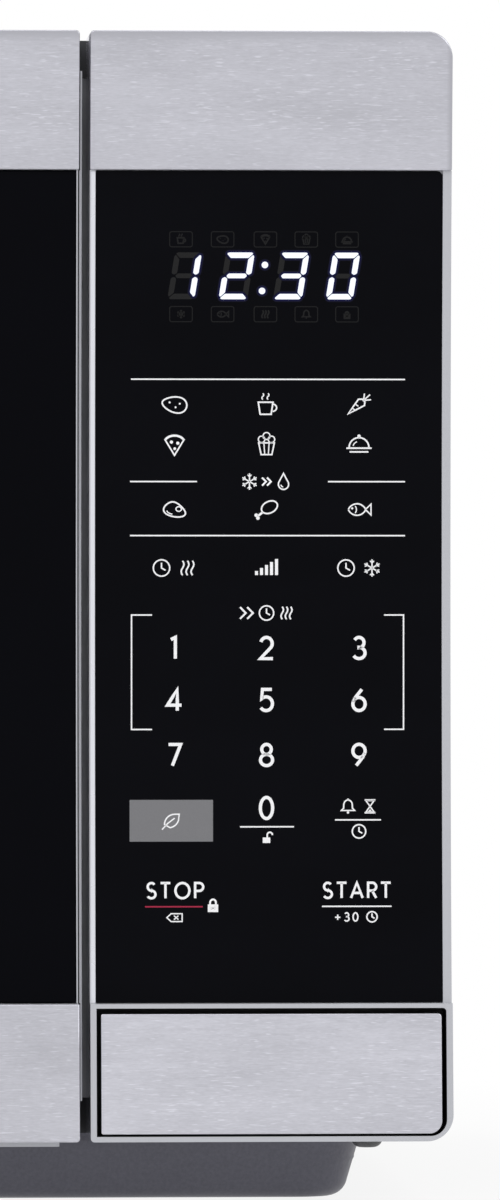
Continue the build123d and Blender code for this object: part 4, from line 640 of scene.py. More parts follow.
SLOT_FINISH = {
    Slot.CASE: SheetPaint((0.030, 0.031, 0.035, 1.0), 0.38, 0.30, 1100.0),
    Slot.BASE: MetallicPaint((0.122, 0.121, 0.149, 1.0), 0.35, 0.42, 0.10, 0.10),
    Slot.GALVANISED: ZincSheet((0.56, 0.57, 0.58, 1.0)),
    Slot.FRONT: SheetPaint((0.60, 0.61, 0.65, 1.0), 0.32, 0.12, coat=0.3),
    Slot.CAVITY: SheetPaint((0.62, 0.62, 0.60, 1.0), 0.30, 0.14, 600.0, 0.35, 0.4),
    Slot.RUBBER: MouldedPlastic((0.030, 0.030, 0.032, 1.0), 0.8, 0.35, 900.0),
    Slot.BLACK: MouldedPlastic((0.025, 0.025, 0.028, 1.0), 0.48, 0.3),
    Slot.SCREW: PlatedMetal((0.66, 0.66, 0.68, 1.0)),
    Slot.SILVER: MetallicPaint((0.475, 0.482, 0.515, 1.0), 0.5, 0.32, 0.05),
    Slot.TINT: TintedGlass(),
    Slot.STEEL: BrushedSteel(),
    Slot.DOOR_PAN: SheetPaint((0.030, 0.030, 0.032, 1.0), 0.42, 0.2),
    Slot.FILM: ClearGlass((0.85, 0.85, 0.85, 1.0), 0.0, 0.12, 0.004, 0.05),
    Slot.OVERLAY: GlossOverlay(),
    Slot.BOARD: Laminate(),
    Slot.DISPLAY: GlossOverlay((0.006, 0.006, 0.008, 1.0), 0.18, 0.2),
    Slot.MOTOR: ZincSheet((0.48, 0.48, 0.49, 1.0), 0.35, 300.0, 0.08),
    Slot.COUPLER: MouldedPlastic((0.72, 0.71, 0.66, 1.0), 0.45, 0.15),
    Slot.TRAY: ClearGlass((0.90, 0.945, 0.935, 1.0)),
    Slot.MICA: Mica(),
    Slot.COPPER: Banded((0.30, 0.11, 0.045, 1.0), (0.72, 0.34, 0.17, 1.0), "Z", 260.0, 1.0, 0.3),
    Slot.ALUMINIUM: ZincSheet((0.72, 0.72, 0.73, 1.0), 0.36, 60.0, 0.06),
    Slot.CORE: Banded((0.035, 0.034, 0.036, 1.0), (0.15, 0.145, 0.15, 1.0), "Y", 320.0, 0.7, 0.45),
    Slot.EPOXY: GlossOverlay((0.02, 0.02, 0.02, 1.0), 0.25, 0.4),
}
WHITE_INK = PrintInk()
RED_INK = PrintInk((0.36, 0.018, 0.055, 1.0))
GREY_INK = PrintInk((0.185, 0.185, 0.195, 1.0))
GHOST_INK = PrintInk((0.0057, 0.0057, 0.0063, 1.0))
FAINT_INK = PrintInk((0.0023, 0.0024, 0.0030, 1.0))
# Painted shade: a darker copy of the brushed steel for the door's lower strip, standing in for the shade on
# the downward-leaning lower part of the front.
SHADED_LOWER_STEEL = BrushedSteel((0.508, 0.508, 0.556, 1.0))
# Painted light: pale, shiny paint for the moulding's side wall in the gap beside the door, so that this
# shaded wall reads lighter.
WALL_PAINTED_LIGHT = MetallicPaint((0.86, 0.86, 0.93, 1.0), 0.9, 0.16, 0.02)
SCREEN_PAINT = SheetPaint((0.014, 0.014, 0.016, 1.0), 0.7, 0.0)
# Painted shade: near-black paint for the base pan's upstand front and for the button's pocket, where there is
# only shade.
RECESS_PAINTED_SHADE = SheetPaint((0.010, 0.010, 0.013, 1.0), 0.6, 0.08)
# Painted highlight: a brighter silver laid over the panel's left trim only, so that it reads lighter than the
# right trim.
EDGE_HIGHLIGHT_PAINT = MetallicPaint((0.70, 0.71, 0.76, 1.0), 0.5, 0.28, 0.03)
NUB_RUBBER = MouldedPlastic((0.115, 0.117, 0.122, 1.0), 0.5, 0.2, 900.0)
SEGMENT_LIGHT = DisplayLight((0.90, 0.95, 1.0, 1.0), 1.15)
HALO_LIGHT = DisplayLight((0.02, 0.03, 1.0, 1.0), 0.012)

_materials: dict[Finish, Material] = {}


def material_for(finish: Finish, name: str) -> Material:
    """Returns a finish's material, made once.

    Args:
        finish: the finish.
        name: the material's name when it is made.

    Returns:
        The material.
    """
    if finish not in _materials:
        _materials[finish] = finish.make(name)
    return _materials[finish]


def slot_material(slot: Slot) -> Material:
    """Returns the material of one of the record's slots."""
    return material_for(SLOT_FINISH[slot], slot.value)


BODY_OF = {node: body for body, nodes in frame["record"]["behaviour"]["bodies"].items() for node in nodes}


def place_in_scene(name: str, data: bpy.types.ID) -> Object:
    """Puts a mesh, a light or a camera in the scene.

    Args:
        name: the object's name.
        data: what it shows.

    Returns:
        The object.
    """
    item = bpy.data.objects.new(name, data)
    bpy.context.scene.collection.objects.link(item)
    return item


def add_piece(name: str, mesh: Mesh, body: str, slot: Slot, stands_for: Iterable[str] = (),
              material: Material | None = None) -> Object:
    """Puts a finished mesh in the scene as a piece that rides on a body.

    Args:
        name: the piece's name.
        mesh: its mesh, with its place in it.
        body: the body that carries it.
        slot: the record's slot that its finish comes from.
        stands_for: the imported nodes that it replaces.
        material: its material, where it isn't the slot's own.

    Returns:
        The piece.
    """
    mesh.name = name
    mesh.materials.clear()
    mesh.materials.append(material or slot_material(slot))
    piece = place_in_scene(name, mesh)
    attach(piece, body)
    if stands_for:
        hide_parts(*stands_for)
    LOG.info("piece %s: %d faces, on %s", name, len(mesh.polygons), body)
    return piece


def dress(nodes: Iterable[str], slot: Slot) -> None:
    """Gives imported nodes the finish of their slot.

    Args:
        nodes: the nodes' names.
        slot: their slot.
    """
    for node in nodes:
        mesh = frame["nodes"][node].data
        mesh.materials.clear()
        mesh.materials.append(slot_material(slot))
        LOG.info("node %s: %s", node, slot.value)


def to_mesh(shape: BMesh, name: str) -> Mesh:
    """Writes a bmesh into a new mesh and frees it.

    Args:
        shape: the bmesh.
        name: the mesh's name.

    Returns:
        The mesh.
    """
    mesh = bpy.data.meshes.new(name)
    shape.to_mesh(mesh)
    shape.free()
    return mesh


def packed_shape(node: str) -> BMesh:
    """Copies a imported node's shape and merges its doubled corners.

    Args:
        node: the node's name.

    Returns:
        The copy.
    """
    shape = bmesh.new()
    shape.from_mesh(frame["nodes"][node].data)
    bmesh.ops.remove_doubles(shape, verts=shape.verts, dist=MERGE_REACH)
    return shape


def cut_at(shape: BMesh, height: float) -> None:
    """Cuts a shape's faces at a height, and keeps both sides."""
    bmesh.ops.bisect_plane(shape, geom=[*shape.verts, *shape.edges, *shape.faces], dist=CUT_REACH,
                           plane_co=(0, 0, height), plane_no=(0, 0, 1))


def smoothed(mesh: Mesh, sharp_over: float) -> Mesh:
    """Shades a mesh smooth apart from its sharp edges.

    Args:
        mesh: the mesh.
        sharp_over: the angle in degrees past which an edge stays sharp.

    Returns:
        The same mesh.
    """
    mesh.shade_smooth()
    mesh.set_sharp_from_angle(angle=radians(sharp_over))
    return mesh


def applied(carrier: Object) -> Mesh:
    """Applies an object's modifiers and removes the object.

    Args:
        carrier: the object.

    Returns:
        The mesh.
    """
    result = bpy.data.meshes.new_from_object(
        carrier.evaluated_get(bpy.context.evaluated_depsgraph_get()))
    bpy.data.objects.remove(carrier)
    return result


def evened(carrier: Object) -> Mesh:
    """Evens an object's shading over its large faces, and applies its modifiers.

    Args:
        carrier: the object, with its other modifiers.

    Returns:
        The mesh.
    """
    shading = carrier.modifiers.new("shading", "WEIGHTED_NORMAL")
    shading.keep_sharp = True
    shading.mode = "FACE_AREA_WITH_ANGLE"
    return applied(carrier)


def edge_broken(mesh: Mesh, width: float, segments: int = 2, over: float = 35.0) -> Mesh:
    """Rounds the sharp edges of a mesh and evens its shading.

    Args:
        mesh: the mesh.
        width: the rounding's width in metres.
        segments: how many faces round each edge.
        over: the angle in degrees past which an edge is rounded.

    Returns:
        A new mesh.
    """
    carrier = place_in_scene("edge_carrier", smoothed(mesh, BROKEN_SHARP_OVER))
    bevel = carrier.modifiers.new("edges", "BEVEL")
    bevel.width, bevel.segments = width, segments
    bevel.limit_method = "ANGLE"
    bevel.angle_limit = radians(over)
    bevel.use_clamp_overlap = True
    bevel.miter_outer = "MITER_ARC"
    return evened(carrier)


def evenly_shaded(mesh: Mesh, sharp_over: float) -> Mesh:
    """Returns a mesh that is smooth up to an angle in degrees, with its large faces flat."""
    return evened(place_in_scene("shading_carrier", smoothed(mesh, sharp_over)))


@dataclass(frozen=True)
class Refined:
    """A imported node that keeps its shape, with merged faces, broken edges and smooth curves."""

    node: str
    name: str
    slot: Slot
    edge: float = 0.0
    clean: bool = True
    sharp_over: float = 32.0
    finish: Finish | None = None

    def build(self) -> Object:
        """Returns the piece that stands for the node."""
        shape = packed_shape(self.node)
        if self.clean:
            bmesh.ops.dissolve_limit(shape, angle_limit=radians(FLAT_WITHIN), verts=shape.verts,
                                     edges=shape.edges, delimit={"NORMAL"})
        mesh = to_mesh(shape, self.name)
        mesh = edge_broken(mesh, self.edge) if self.edge > 0 else evenly_shaded(mesh, self.sharp_over)
        material = material_for(self.finish, self.name) if self.finish else None
        return add_piece(self.name, mesh, BODY_OF[self.node], self.slot, (self.node,), material)


@dataclass(frozen=True)
class Fascia:
    """The hollow front that the door and the control panel share."""

    low: float = 0.0196
    high: float = 0.312
    hollow_front: float = -0.1944
    sag: float = 0.008
    band_low: float = 0.0558
    band_high: float = 0.2754

    def depth(self, z: float, proud: float = 0.0) -> float:
        """Returns the front's place along Y at a height.

        Args:
            z: the height.
            proud: how far in front of the moulding, in metres.

        Returns:
            The place along Y.
        """
        middle, half = (self.low + self.high) / 2, (self.high - self.low) / 2
        radius = (half**2 + self.sag**2) / (2 * self.sag)
        return self.hollow_front - radius + sqrt(radius**2 - (z - middle) ** 2) - proud


@dataclass(frozen=True)
class Viewpoint:
    """Where the camera stands, and how a place in the frame meets the hollow front."""

    eye: Place = (0.064, -2.7035, 0.1621)
    aim: Place = (0.2029, -0.2035, 0.1621)
    lens: float = 285.4
    sensor: float = 36.0
    frame_width: float = 500.0
    frame_height: float = 1200.0

    @property
    def focal(self) -> float:
        """The focal length in frame units."""
        return self.lens / self.sensor * self.frame_height

    def meet(self, u: float, v: float, proud: float) -> Point:
        """Finds the place on the hollow front that is seen at a place in the frame.

        Args:
            u: the place to the right in the frame, of 500.
            v: the place down in the frame, of 1200.
            proud: how far in front of the moulding, in metres.

        Returns:
            X and Z of that place.
        """
        eye, turn = Vector(self.eye), atan2(self.aim[0] - self.eye[0], self.aim[1] - self.eye[1])
        side = turn + atan2(u - self.frame_width / 2, self.focal)
        rise = (self.frame_height / 2 - v) / self.focal
        z = self.eye[2]
        for _ in range(4):
            away = FASCIA.depth(z, proud) - eye.y
            z = self.eye[2] + rise * away / cos(turn)
        return eye.x + (FASCIA.depth(z, proud) - eye.y) * sin(side) / cos(side), z


FASCIA = Fascia()
VIEW = Viewpoint()


def rounded_outline(x: Point, z: Point, radii: Radii, steps: int = 8) -> list[Point]:
    """Makes a rectangle with its own radius at each corner, anticlockwise from its low left.

    Args:
        x: its left and right.
        z: its low and high.
        radii: radii at the low left, low right, high right and high left.
        steps: how many pieces each round corner has.

    Returns:
        The outline's points.
    """
    corners = ((x[0], z[0], 1, 1, 180), (x[1], z[0], -1, 1, 270), (x[1], z[1], -1, -1, 0),
               (x[0], z[1], 1, -1, 90))
    points = []
    for (cx, cz, dx, dz, start), radius in zip(corners, radii):
        for i in range(steps + 1):
            angle = radians(start + 90 * i / steps)
            points.append((cx + dx * radius + radius * cos(angle), cz + dz * radius + radius * sin(angle)))
    return points


def rounded_corners(points: Iterable[Point], reach: float, steps: int = 3) -> tuple[Point, ...]:
    """Rounds every corner of an outline.

    Args:
        points: the outline's corners.
        reach: how far from each corner the rounding starts.
        steps: how many pieces each corner gets.

    Returns:
        The rounded outline.
    """
    corners = [Vector(p) for p in points]
    out = []
    for i, corner in enumerate(corners):
        before, after = corners[i - 1] - corner, corners[(i + 1) % len(corners)] - corner
        start = corner + before.normalized() * min(reach, before.length * 0.45)
        end = corner + after.normalized() * min(reach, after.length * 0.45)
        for k in range(steps + 1):
            t = k / steps
            spot = start * (1 - t) ** 2 + corner * 2 * t * (1 - t) + end * t**2
            out.append((spot.x, spot.y))
    return tuple(out)


class Relief:
    """Flat faces in X and Z that become a closed solid between two depths."""

    def __init__(self) -> None:
        """Starts with no faces."""
        self.shape = bmesh.new()

    def face(self, points: Iterable[Point]) -> None:
        """Adds one flat face, given its corners."""
        self.shape.faces.new([self.shape.verts.new((x, 0.0, z)) for x, z in points])

    def slice_levels(self, low: float, high: float, count: int) -> None:
        """Cuts the faces at even heights, so that they can follow a curve."""
        for i in range(1, count):
            cut_at(self.shape, low + (high - low) * i / count)

    def raise_between(self, front: float, back: float, name: str) -> Mesh:
        """Gives the faces their depth along the hollow front.

        Args:
            front: how far in front of the moulding their front lies.
            back: how far in front of it their back lies.
            name: the mesh's name.

        Returns:
            The closed mesh.
        """
        shape = self.shape
        bmesh.ops.recalc_face_normals(shape, faces=shape.faces)
        fronts, rim = list(shape.faces), [e for e in shape.edges if len(e.link_faces) == 1]
        twin = {v: shape.verts.new((v.co.x, FASCIA.depth(v.co.z, back), v.co.z)) for v in list(shape.verts)}
        for v in twin:
            v.co.y = FASCIA.depth(v.co.z, front)
        for edge in rim:
            a, b = edge.verts
            shape.faces.new((a, b, twin[b], twin[a]))
        for face in fronts:
            shape.faces.new([twin[v] for v in reversed(face.verts)])
        bmesh.ops.recalc_face_normals(shape, faces=shape.faces)
        return to_mesh(shape, name)


@dataclass(frozen=True)
class Mark:
    """A printed line through points, or a filled shape where its width is zero."""

    points: tuple[Point, ...]
    width: float = 0.0


def stroke(width: float, *points: Point) -> Mark:
    """Returns a line of a width through points."""
    return Mark(points, width)


def patch(*points: Point) -> Mark:
    """Returns a filled shape."""
    return Mark(points)


def dot(cx: float, cy: float, radius: float) -> Mark:
    """Returns a filled round dot."""
    return Mark(tuple((cx + radius * cos(pi * i / 8), cy + radius * sin(pi * i / 8)) for i in range(16)))


def arc(cx: float, cy: float, rx: float, ry: float, start: float = 0.0,
        stop: float = 360.0) -> tuple[Point, ...]:
    """Traces an arc.

    Args:
        cx: its centre's place across.
        cy: its centre's place down.
        rx: its reach across.
        ry: its reach down.
        start: the angle in degrees where it starts, anticlockwise from the right.
        stop: the angle where it ends.

    Returns:
        Points along the arc.
    """
    count = max(4, int(abs(stop - start) / 12))
    angles = [radians(start + (stop - start) * i / count) for i in range(count + 1)]
    return tuple((cx + rx * cos(a), cy - ry * sin(a)) for a in angles)


def bow(width: float, *shape: float) -> Mark:
    """Returns a line of a width along an arc."""
    return Mark(arc(*shape), width)


def blob(width: float, steps: int, *axes: tuple[float, float, float, float]) -> Mark:
    """Returns a closed round line.

    Args:
        width: the line's width.
        steps: how many pieces it has.
        axes: across and down, its middle and the shares of the angle's cosine, its sine and its
            double sine.

    Returns:
        The line.
    """
    angles = [2 * pi * i / steps for i in range(steps + 1)]
    return Mark(tuple(tuple(middle + c * cos(a) + s * sin(a) + d * sin(2 * a) for middle, c, s, d in axes)
                      for a in angles), width)


def wave_line(u: float, top: float, bottom: float, reach: float, width: float) -> Mark:
    """Returns one upright wavy line."""
    return Mark(tuple((u + reach * sin(2 * pi * i / 8), top + (bottom - top) * i / 8) for i in range(9)),
                width)


def moved(marks: Iterable[Mark], u: float, v: float, scale: float = 1.0) -> list[Mark]:
    """Moves and scales marks drawn round the origin.

    Args:
        marks: the marks.
        u: how far right.
        v: how far down.
        scale: how much larger.

    Returns:
        The moved marks, their lines as wide as before.
    """
    return [Mark(tuple((u + x * scale, v + y * scale) for x, y in mark.points), mark.width) for mark in marks]


@dataclass
class Print:
    """A layer of print on the hollow overlay, laid out in frame units."""

    name: str
    finish: Finish
    lift: float = 0.00004
    sink: float = 0.00002
    recess: float = 0.0003
    marks: list[Mark] = field(default_factory=list)

    def ribbon(self, points: tuple[Point, ...], width: float) -> list[tuple[Point, ...]]:
        """Widens a line into four-sided faces.

        Args:
            points: the line's points; it is closed if its ends meet.
            width: its width.

        Returns:
            The faces' corners.
        """
        dense: list[Point] = [points[0]]
        for (ax, ay), (bx, by) in zip(points, points[1:]):
            count = max(1, int(sqrt((bx - ax) ** 2 + (by - ay) ** 2) / 9.0))
            dense += [(ax + (bx - ax) * i / count, ay + (by - ay) * i / count) for i in range(1, count + 1)]
        runs = [Vector((bx - ax, by - ay)).normalized() for (ax, ay), (bx, by) in zip(dense, dense[1:])]
        closed = (Vector(dense[0]) - Vector(dense[-1])).length < 1e-6
        sides = []
        for i, point in enumerate(dense):
            before = runs[i - 1] if i > 0 else (runs[-1] if closed else runs[0])
            after = runs[i] if i < len(runs) else (runs[0] if closed else runs[-1])
            across = Vector((-before.y, before.x))
            mitre = (across + Vector((-after.y, after.x)))
            mitre = mitre.normalized() if mitre.length > 1e-6 else across
            reach = width / 2 / max(mitre.dot(across), 0.45)
            sides.append(((point[0] + mitre.x * reach, point[1] + mitre.y * reach),
                          (point[0] - mitre.x * reach, point[1] - mitre.y * reach)))
        return [(a[0], a[1], b[1], b[0]) for a, b in zip(sides, sides[1:])]

    def build(self) -> Object:
        """Returns the printed piece."""
        relief = Relief()
        for mark in self.marks:
            faces = self.ribbon(mark.points, mark.width) if mark.width > 0 else [mark.points]
            start = len(relief.shape.verts)
            for corners in faces:
                relief.face(VIEW.meet(u, v, -self.recess) for u, v in corners)
            relief.shape.verts.ensure_lookup_table()
            bmesh.ops.remove_doubles(relief.shape, verts=relief.shape.verts[start:], dist=1e-7)
        mesh = relief.raise_between(self.lift - self.recess, -self.recess - self.sink, self.name)
        return add_piece(self.name, mesh, "cabinet", Slot.OVERLAY,
                         material=material_for(self.finish, self.name))


def glyph_lines() -> dict[str, tuple[float, tuple[tuple[Point, ...], ...]]]:
    """Draws the figures and capitals that the keypad needs, one unit high above the line y = 0.

    Returns:
        The width and the lines of each.
    """
    ring = arc(0.0, -0.31, 0.29, 0.31, 150, 510)
    six = ((*ring[:-1], ring[0]), ((-0.27, -0.40), (-0.17, -0.62), (0.13, -1.0)))
    nine = tuple(tuple((-x, -1.0 - y) for x, y in line) for line in six)
    bowl = ((-0.24, 0.0), (-0.24, -1.0), *arc(0.02, -0.74, 0.27, 0.26, 90, -90), (-0.24, -0.48))
    return {
        "0": (0.62, (arc(0.0, -0.5, 0.29, 0.5),)),
        "1": (0.40, (((-0.17, -0.90), (0.04, -1.0), (0.04, 0.0)),)),
        "2": (0.62, ((*arc(0.0, -0.71, 0.27, 0.29, 165, -38), (-0.29, 0.0), (0.30, 0.0)),)),
        "3": (0.62, ((*arc(0.0, -0.755, 0.235, 0.245, 150, -90),
                      *arc(0.0, -0.265, 0.285, 0.265, 90, -150)),)),
        "4": (0.66, (((0.33, -0.26), (-0.33, -0.26), (0.13, -1.0), (0.13, 0.0)),)),
        "5": (0.62, (((0.25, -1.0), (-0.19, -1.0), (-0.23, -0.56),
                      *arc(-0.02, -0.325, 0.30, 0.325, 125, -145)),)),
        "6": (0.62, six),
        "7": (0.60, (((-0.28, -1.0), (0.29, -1.0), (-0.10, 0.0)),)),
        "8": (0.62, (arc(0.0, -0.765, 0.225, 0.235, -90, 270), arc(0.0, -0.265, 0.285, 0.265, 90, 450))),
        "9": (0.62, nine),
        "S": (0.60, ((*arc(0.0, -0.75, 0.24, 0.25, 35, 270), *arc(0.0, -0.25, 0.27, 0.25, 90, -150)),)),
        "T": (0.66, (((-0.32, -1.0), (0.32, -1.0)), ((0.0, -1.0), (0.0, 0.0)))),
        "O": (0.98, (arc(0.0, -0.5, 0.46, 0.5),)),
        "P": (0.58, (bowl,)),
        "A": (0.78, (((-0.38, 0.0), (0.0, -1.0), (0.38, 0.0)), ((-0.25, -0.33), (0.25, -0.33)))),
        "R": (0.62, (bowl, ((0.02, -0.48), (0.29, 0.0)))),
        "+": (0.66, (((-0.32, -0.46), (0.32, -0.46)), ((0.0, -0.14), (0.0, -0.78)))),
    }


GLYPHS = glyph_lines()


def glyph(sign: str, u: float, base: float, height: float, width: float) -> list[Mark]:
    """Places one figure or capital.

    Args:
        sign: which one.
        u: its middle.
        base: the line that it stands on.
        height: its height.
        width: its stroke's width.

    Returns:
        Its strokes.
    """
    return [Mark(tuple((u + x * height, base + y * height) for x, y in line), width)
            for line in GLYPHS[sign][1]]


def row(signs: str, left: float, right: float, base: float, height: float, width: float) -> list[Mark]:
    """Places a row of signs so that it fills a width.

    Args:
        signs: the signs.
        left: where the row starts.
        right: where it ends.
        base: the line that it stands on.
        height: the signs' height.
        width: the strokes' width.

    Returns:
        The row's strokes.
    """
    widths = [GLYPHS[s][0] * height for s in signs]
    gap = (right - left - sum(widths)) / max(1, len(signs) - 1)
    marks: list[Mark] = []
    u = left
    for sign, wide in zip(signs, widths):
        marks += glyph(sign, u + wide / 2, base, height, width)
        u += wide + gap
    return marks


class Sign(Enum):
    """Signs of the keypad, drawn about 18 frame units high round their middle."""

    POTATO = "potato"
    CUP = "cup"
    CARROT = "carrot"
    PIZZA = "pizza"
    POPCORN = "popcorn"
    CLOCHE = "cloche"
    FLAKE = "flake"
    DROP = "drop"
    STEAK = "steak"
    DRUMSTICK = "drumstick"
    FISH = "fish"
    CLOCK = "clock"
    HEAT = "heat"
    BARS = "bars"
    CHEVRONS = "chevrons"
    LEAF = "leaf"
    OPEN_LOCK = "open_lock"
    LOCK = "lock"
    BELL = "bell"
    HOURGLASS = "hourglass"
    CLEAR = "clear"


def block(left: float, right: float, low: float, high: float) -> tuple[Point, ...]:
    """Returns a rectangle's corners."""
    return (left, low), (right, low), (right, high), (left, high)


def flake_marks(arms: int = 6, reach: float = 8.6) -> tuple[Mark, ...]:
    """Draws a snowflake, whose arms each fork once.

    Args:
        arms: how many arms it has.
        reach: how long they are.

    Returns:
        Its lines.
    """
    marks: list[Mark] = []
    for arm in range(arms):
        turn = 2 * pi * arm / arms + pi / 6
        ax, ay = cos(turn), sin(turn)
        marks.append(stroke(1.3, (0.0, 0.0), (reach * ax, reach * ay)))
        for lean in (-0.75, 0.75):
            marks.append(stroke(1.1, (5.0 * ax, 5.0 * ay),
                                (5.0 * ax + 3.0 * cos(turn + lean), 5.0 * ay + 3.0 * sin(turn + lean))))
    return tuple(marks)


SIGN_MARKS = {
    Sign.POTATO: (
        blob(1.5, 28, (0.0, 11.0, -2.2, 0.0), (0.0, 2.5, 6.8, 0.9)),
        dot(-4.5, -1.8, 0.9), dot(1.0, 2.6, 0.9), dot(4.8, -0.6, 0.9)),
    Sign.CUP: (
        stroke(1.5, (-7.5, -3.0), (-5.8, 8.0), (4.2, 8.0), (5.9, -3.0), (-7.5, -3.0)),
        bow(1.4, 5.2, 2.0, 4.0, 3.4, 80, -85), *(wave_line(u, -11.0, -5.5, 0.9, 1.2) for u in (-3.4, 1.4))),
    Sign.CARROT: (
        stroke(1.5, (-10.5, 8.0), (-0.5, -6.0), (3.0, -6.2), (5.6, -3.6), (5.2, -0.2), (-10.5, 8.0)),
        *(stroke(1.3, (4.4, -5.0), tip) for tip in ((10.5, -10.5), (11.5, -5.6), (5.2, -11.5))),
        stroke(1.1, (-3.6, -1.4), (-0.6, 0.6)), stroke(1.1, (-6.2, 2.6), (-4.0, 4.0))),
    Sign.PIZZA: (
        stroke(1.5, (-9.0, -5.4), (0.0, 9.4), (9.0, -5.4)), bow(2.2, 0.0, -0.5, 10.0, 8.0, 150, 30),
        dot(-2.8, -2.6, 1.5), dot(3.0, -1.6, 1.5), dot(0.2, 3.4, 1.3)),
    Sign.POPCORN: (
        stroke(1.4, (-7.0, -1.5), (-4.8, 9.0), (4.8, 9.0), (7.0, -1.5), (-7.0, -1.5)),
        stroke(1.1, (-2.3, -1.0), (-1.6, 8.6)), stroke(1.1, (2.3, -1.0), (1.6, 8.6)),
        bow(1.2, -4.4, -4.6, 2.9, 2.9), bow(1.2, 4.4, -4.6, 2.9, 2.9), bow(1.2, 0.0, -7.6, 3.1, 3.1)),
    Sign.CLOCHE: (
        bow(1.5, 0.0, 4.0, 9.0, 9.0, 180, 0), stroke(1.6, (-11.5, 4.6), (11.5, 4.6)),
        stroke(1.5, (-8.5, 8.0), (8.5, 8.0)), dot(0.0, -6.4, 1.5), bow(1.1, 0.0, 4.0, 5.6, 5.6, 165, 110)),
    Sign.FLAKE: flake_marks(),
    Sign.DROP: (
        stroke(1.4, (0.0, -8.6), *arc(0.0, 2.8, 5.4, 5.4, 152, 388), (0.0, -8.6)),
        bow(1.1, 0.0, 2.8, 2.8, 2.8, 190, 265)),
    Sign.STEAK: (
        blob(1.5, 28, (0.0, 10.0, 0.0, 1.6), (0.0, 1.8, 7.0, 0.0)),
        bow(1.2, 4.0, -0.4, 2.6, 2.2), bow(1.1, -1.0, 0.5, 6.4, 4.0, 190, 260)),
    Sign.DRUMSTICK: (
        blob(1.5, 24, (2.8, 7.6, 0.8, 0.0), (-2.2, -2.4, 5.6, 0.0)),
        stroke(2.2, (-3.6, 2.6), (-8.4, 6.4)), dot(-9.8, 5.4, 1.7), dot(-8.2, 8.2, 1.7)),
    Sign.FISH: (
        bow(1.4, -2.0, 5.2, 10.0, 11.0, 150, 30), bow(1.4, -2.0, -5.2, 10.0, 11.0, 210, 330),
        stroke(1.4, (6.4, 0.0), (12.0, -5.4), (12.0, 5.4), (6.4, 0.0)), dot(-6.8, -1.2, 1.1),
        bow(1.1, -6.0, 0.0, 3.4, 4.6, 50, -50)),
    Sign.CLOCK: (bow(1.4, 0.0, 0.0, 7.8, 7.8), stroke(1.4, (0.0, -5.0), (0.0, 0.0), (3.8, 2.2))),
    Sign.HEAT: tuple(wave_line(u, -8.0, 8.0, 1.6, 1.5) for u in (-5.5, 0.0, 5.5)),
    Sign.BARS: tuple(patch(*block(5.0 * n - 1.5, 5.0 * n + 1.5, 8.0, -2.0 - 3.0 * n)) for n in range(-2, 3)),
    Sign.CHEVRONS: tuple(stroke(1.8, (u - 3.2, -6.5), (u + 3.2, 0.0), (u - 3.2, 6.5)) for u in (-4.0, 4.0)),
    Sign.LEAF: (
        stroke(1.4, *arc(4.0, 4.4, 12.0, 12.0, 180, 90), (9.4, -7.6), (9.0, -2.0),
               *arc(-3.6, -3.2, 12.4, 11.6, 10, -80), (-8.0, 4.4)),
        stroke(1.3, (-11.0, 10.5), (-4.0, 3.0), (4.0, -3.0))),
    Sign.OPEN_LOCK: (
        patch(*block(-5.2, 5.2, 0.0, 7.6)), stroke(1.6, *arc(4.6, -3.4, 3.6, 3.8, 0, 180), (1.0, 0.0))),
    Sign.LOCK: (
        stroke(3.4, *block(-3.5, 3.5, 1.7, 6.0), (-3.5, 1.7)),
        patch(*block(-2.2, -0.7, 2.4, 5.4)), patch(*block(0.7, 2.2, 2.4, 5.4)),
        stroke(1.9, (-2.9, 0.2), *arc(0.0, -1.7, 2.9, 3.2, 180, 0), (2.9, 0.2))),
    Sign.BELL: (
        stroke(1.4, (-8.0, 5.0), (-5.4, 2.2), *arc(0.0, -1.6, 5.2, 6.2, 180, 0), (5.4, 2.2), (8.0, 5.0),
               (-8.0, 5.0)), dot(0.0, 7.4, 1.5), dot(0.0, -8.6, 1.1)),
    Sign.HOURGLASS: (
        stroke(1.3, (-5.0, -7.0), (5.0, 7.0), (-5.0, 7.0), (5.0, -7.0), (-5.0, -7.0)),
        stroke(1.5, (-6.6, -7.8), (6.6, -7.8)), stroke(1.5, (-6.6, 7.8), (6.6, 7.8)),
        patch((-2.6, 6.4), (2.6, 6.4), (0.0, 3.4))),
    Sign.CLEAR: (
        stroke(1.2, (-9.0, 0.0), (-4.0, -4.6), (9.0, -4.6), (9.0, 4.6), (-4.0, 4.6), (-9.0, 0.0)),
        stroke(1.2, (-0.6, -2.3), (4.6, 2.3)), stroke(1.2, (-0.6, 2.3), (4.6, -2.3))),
}


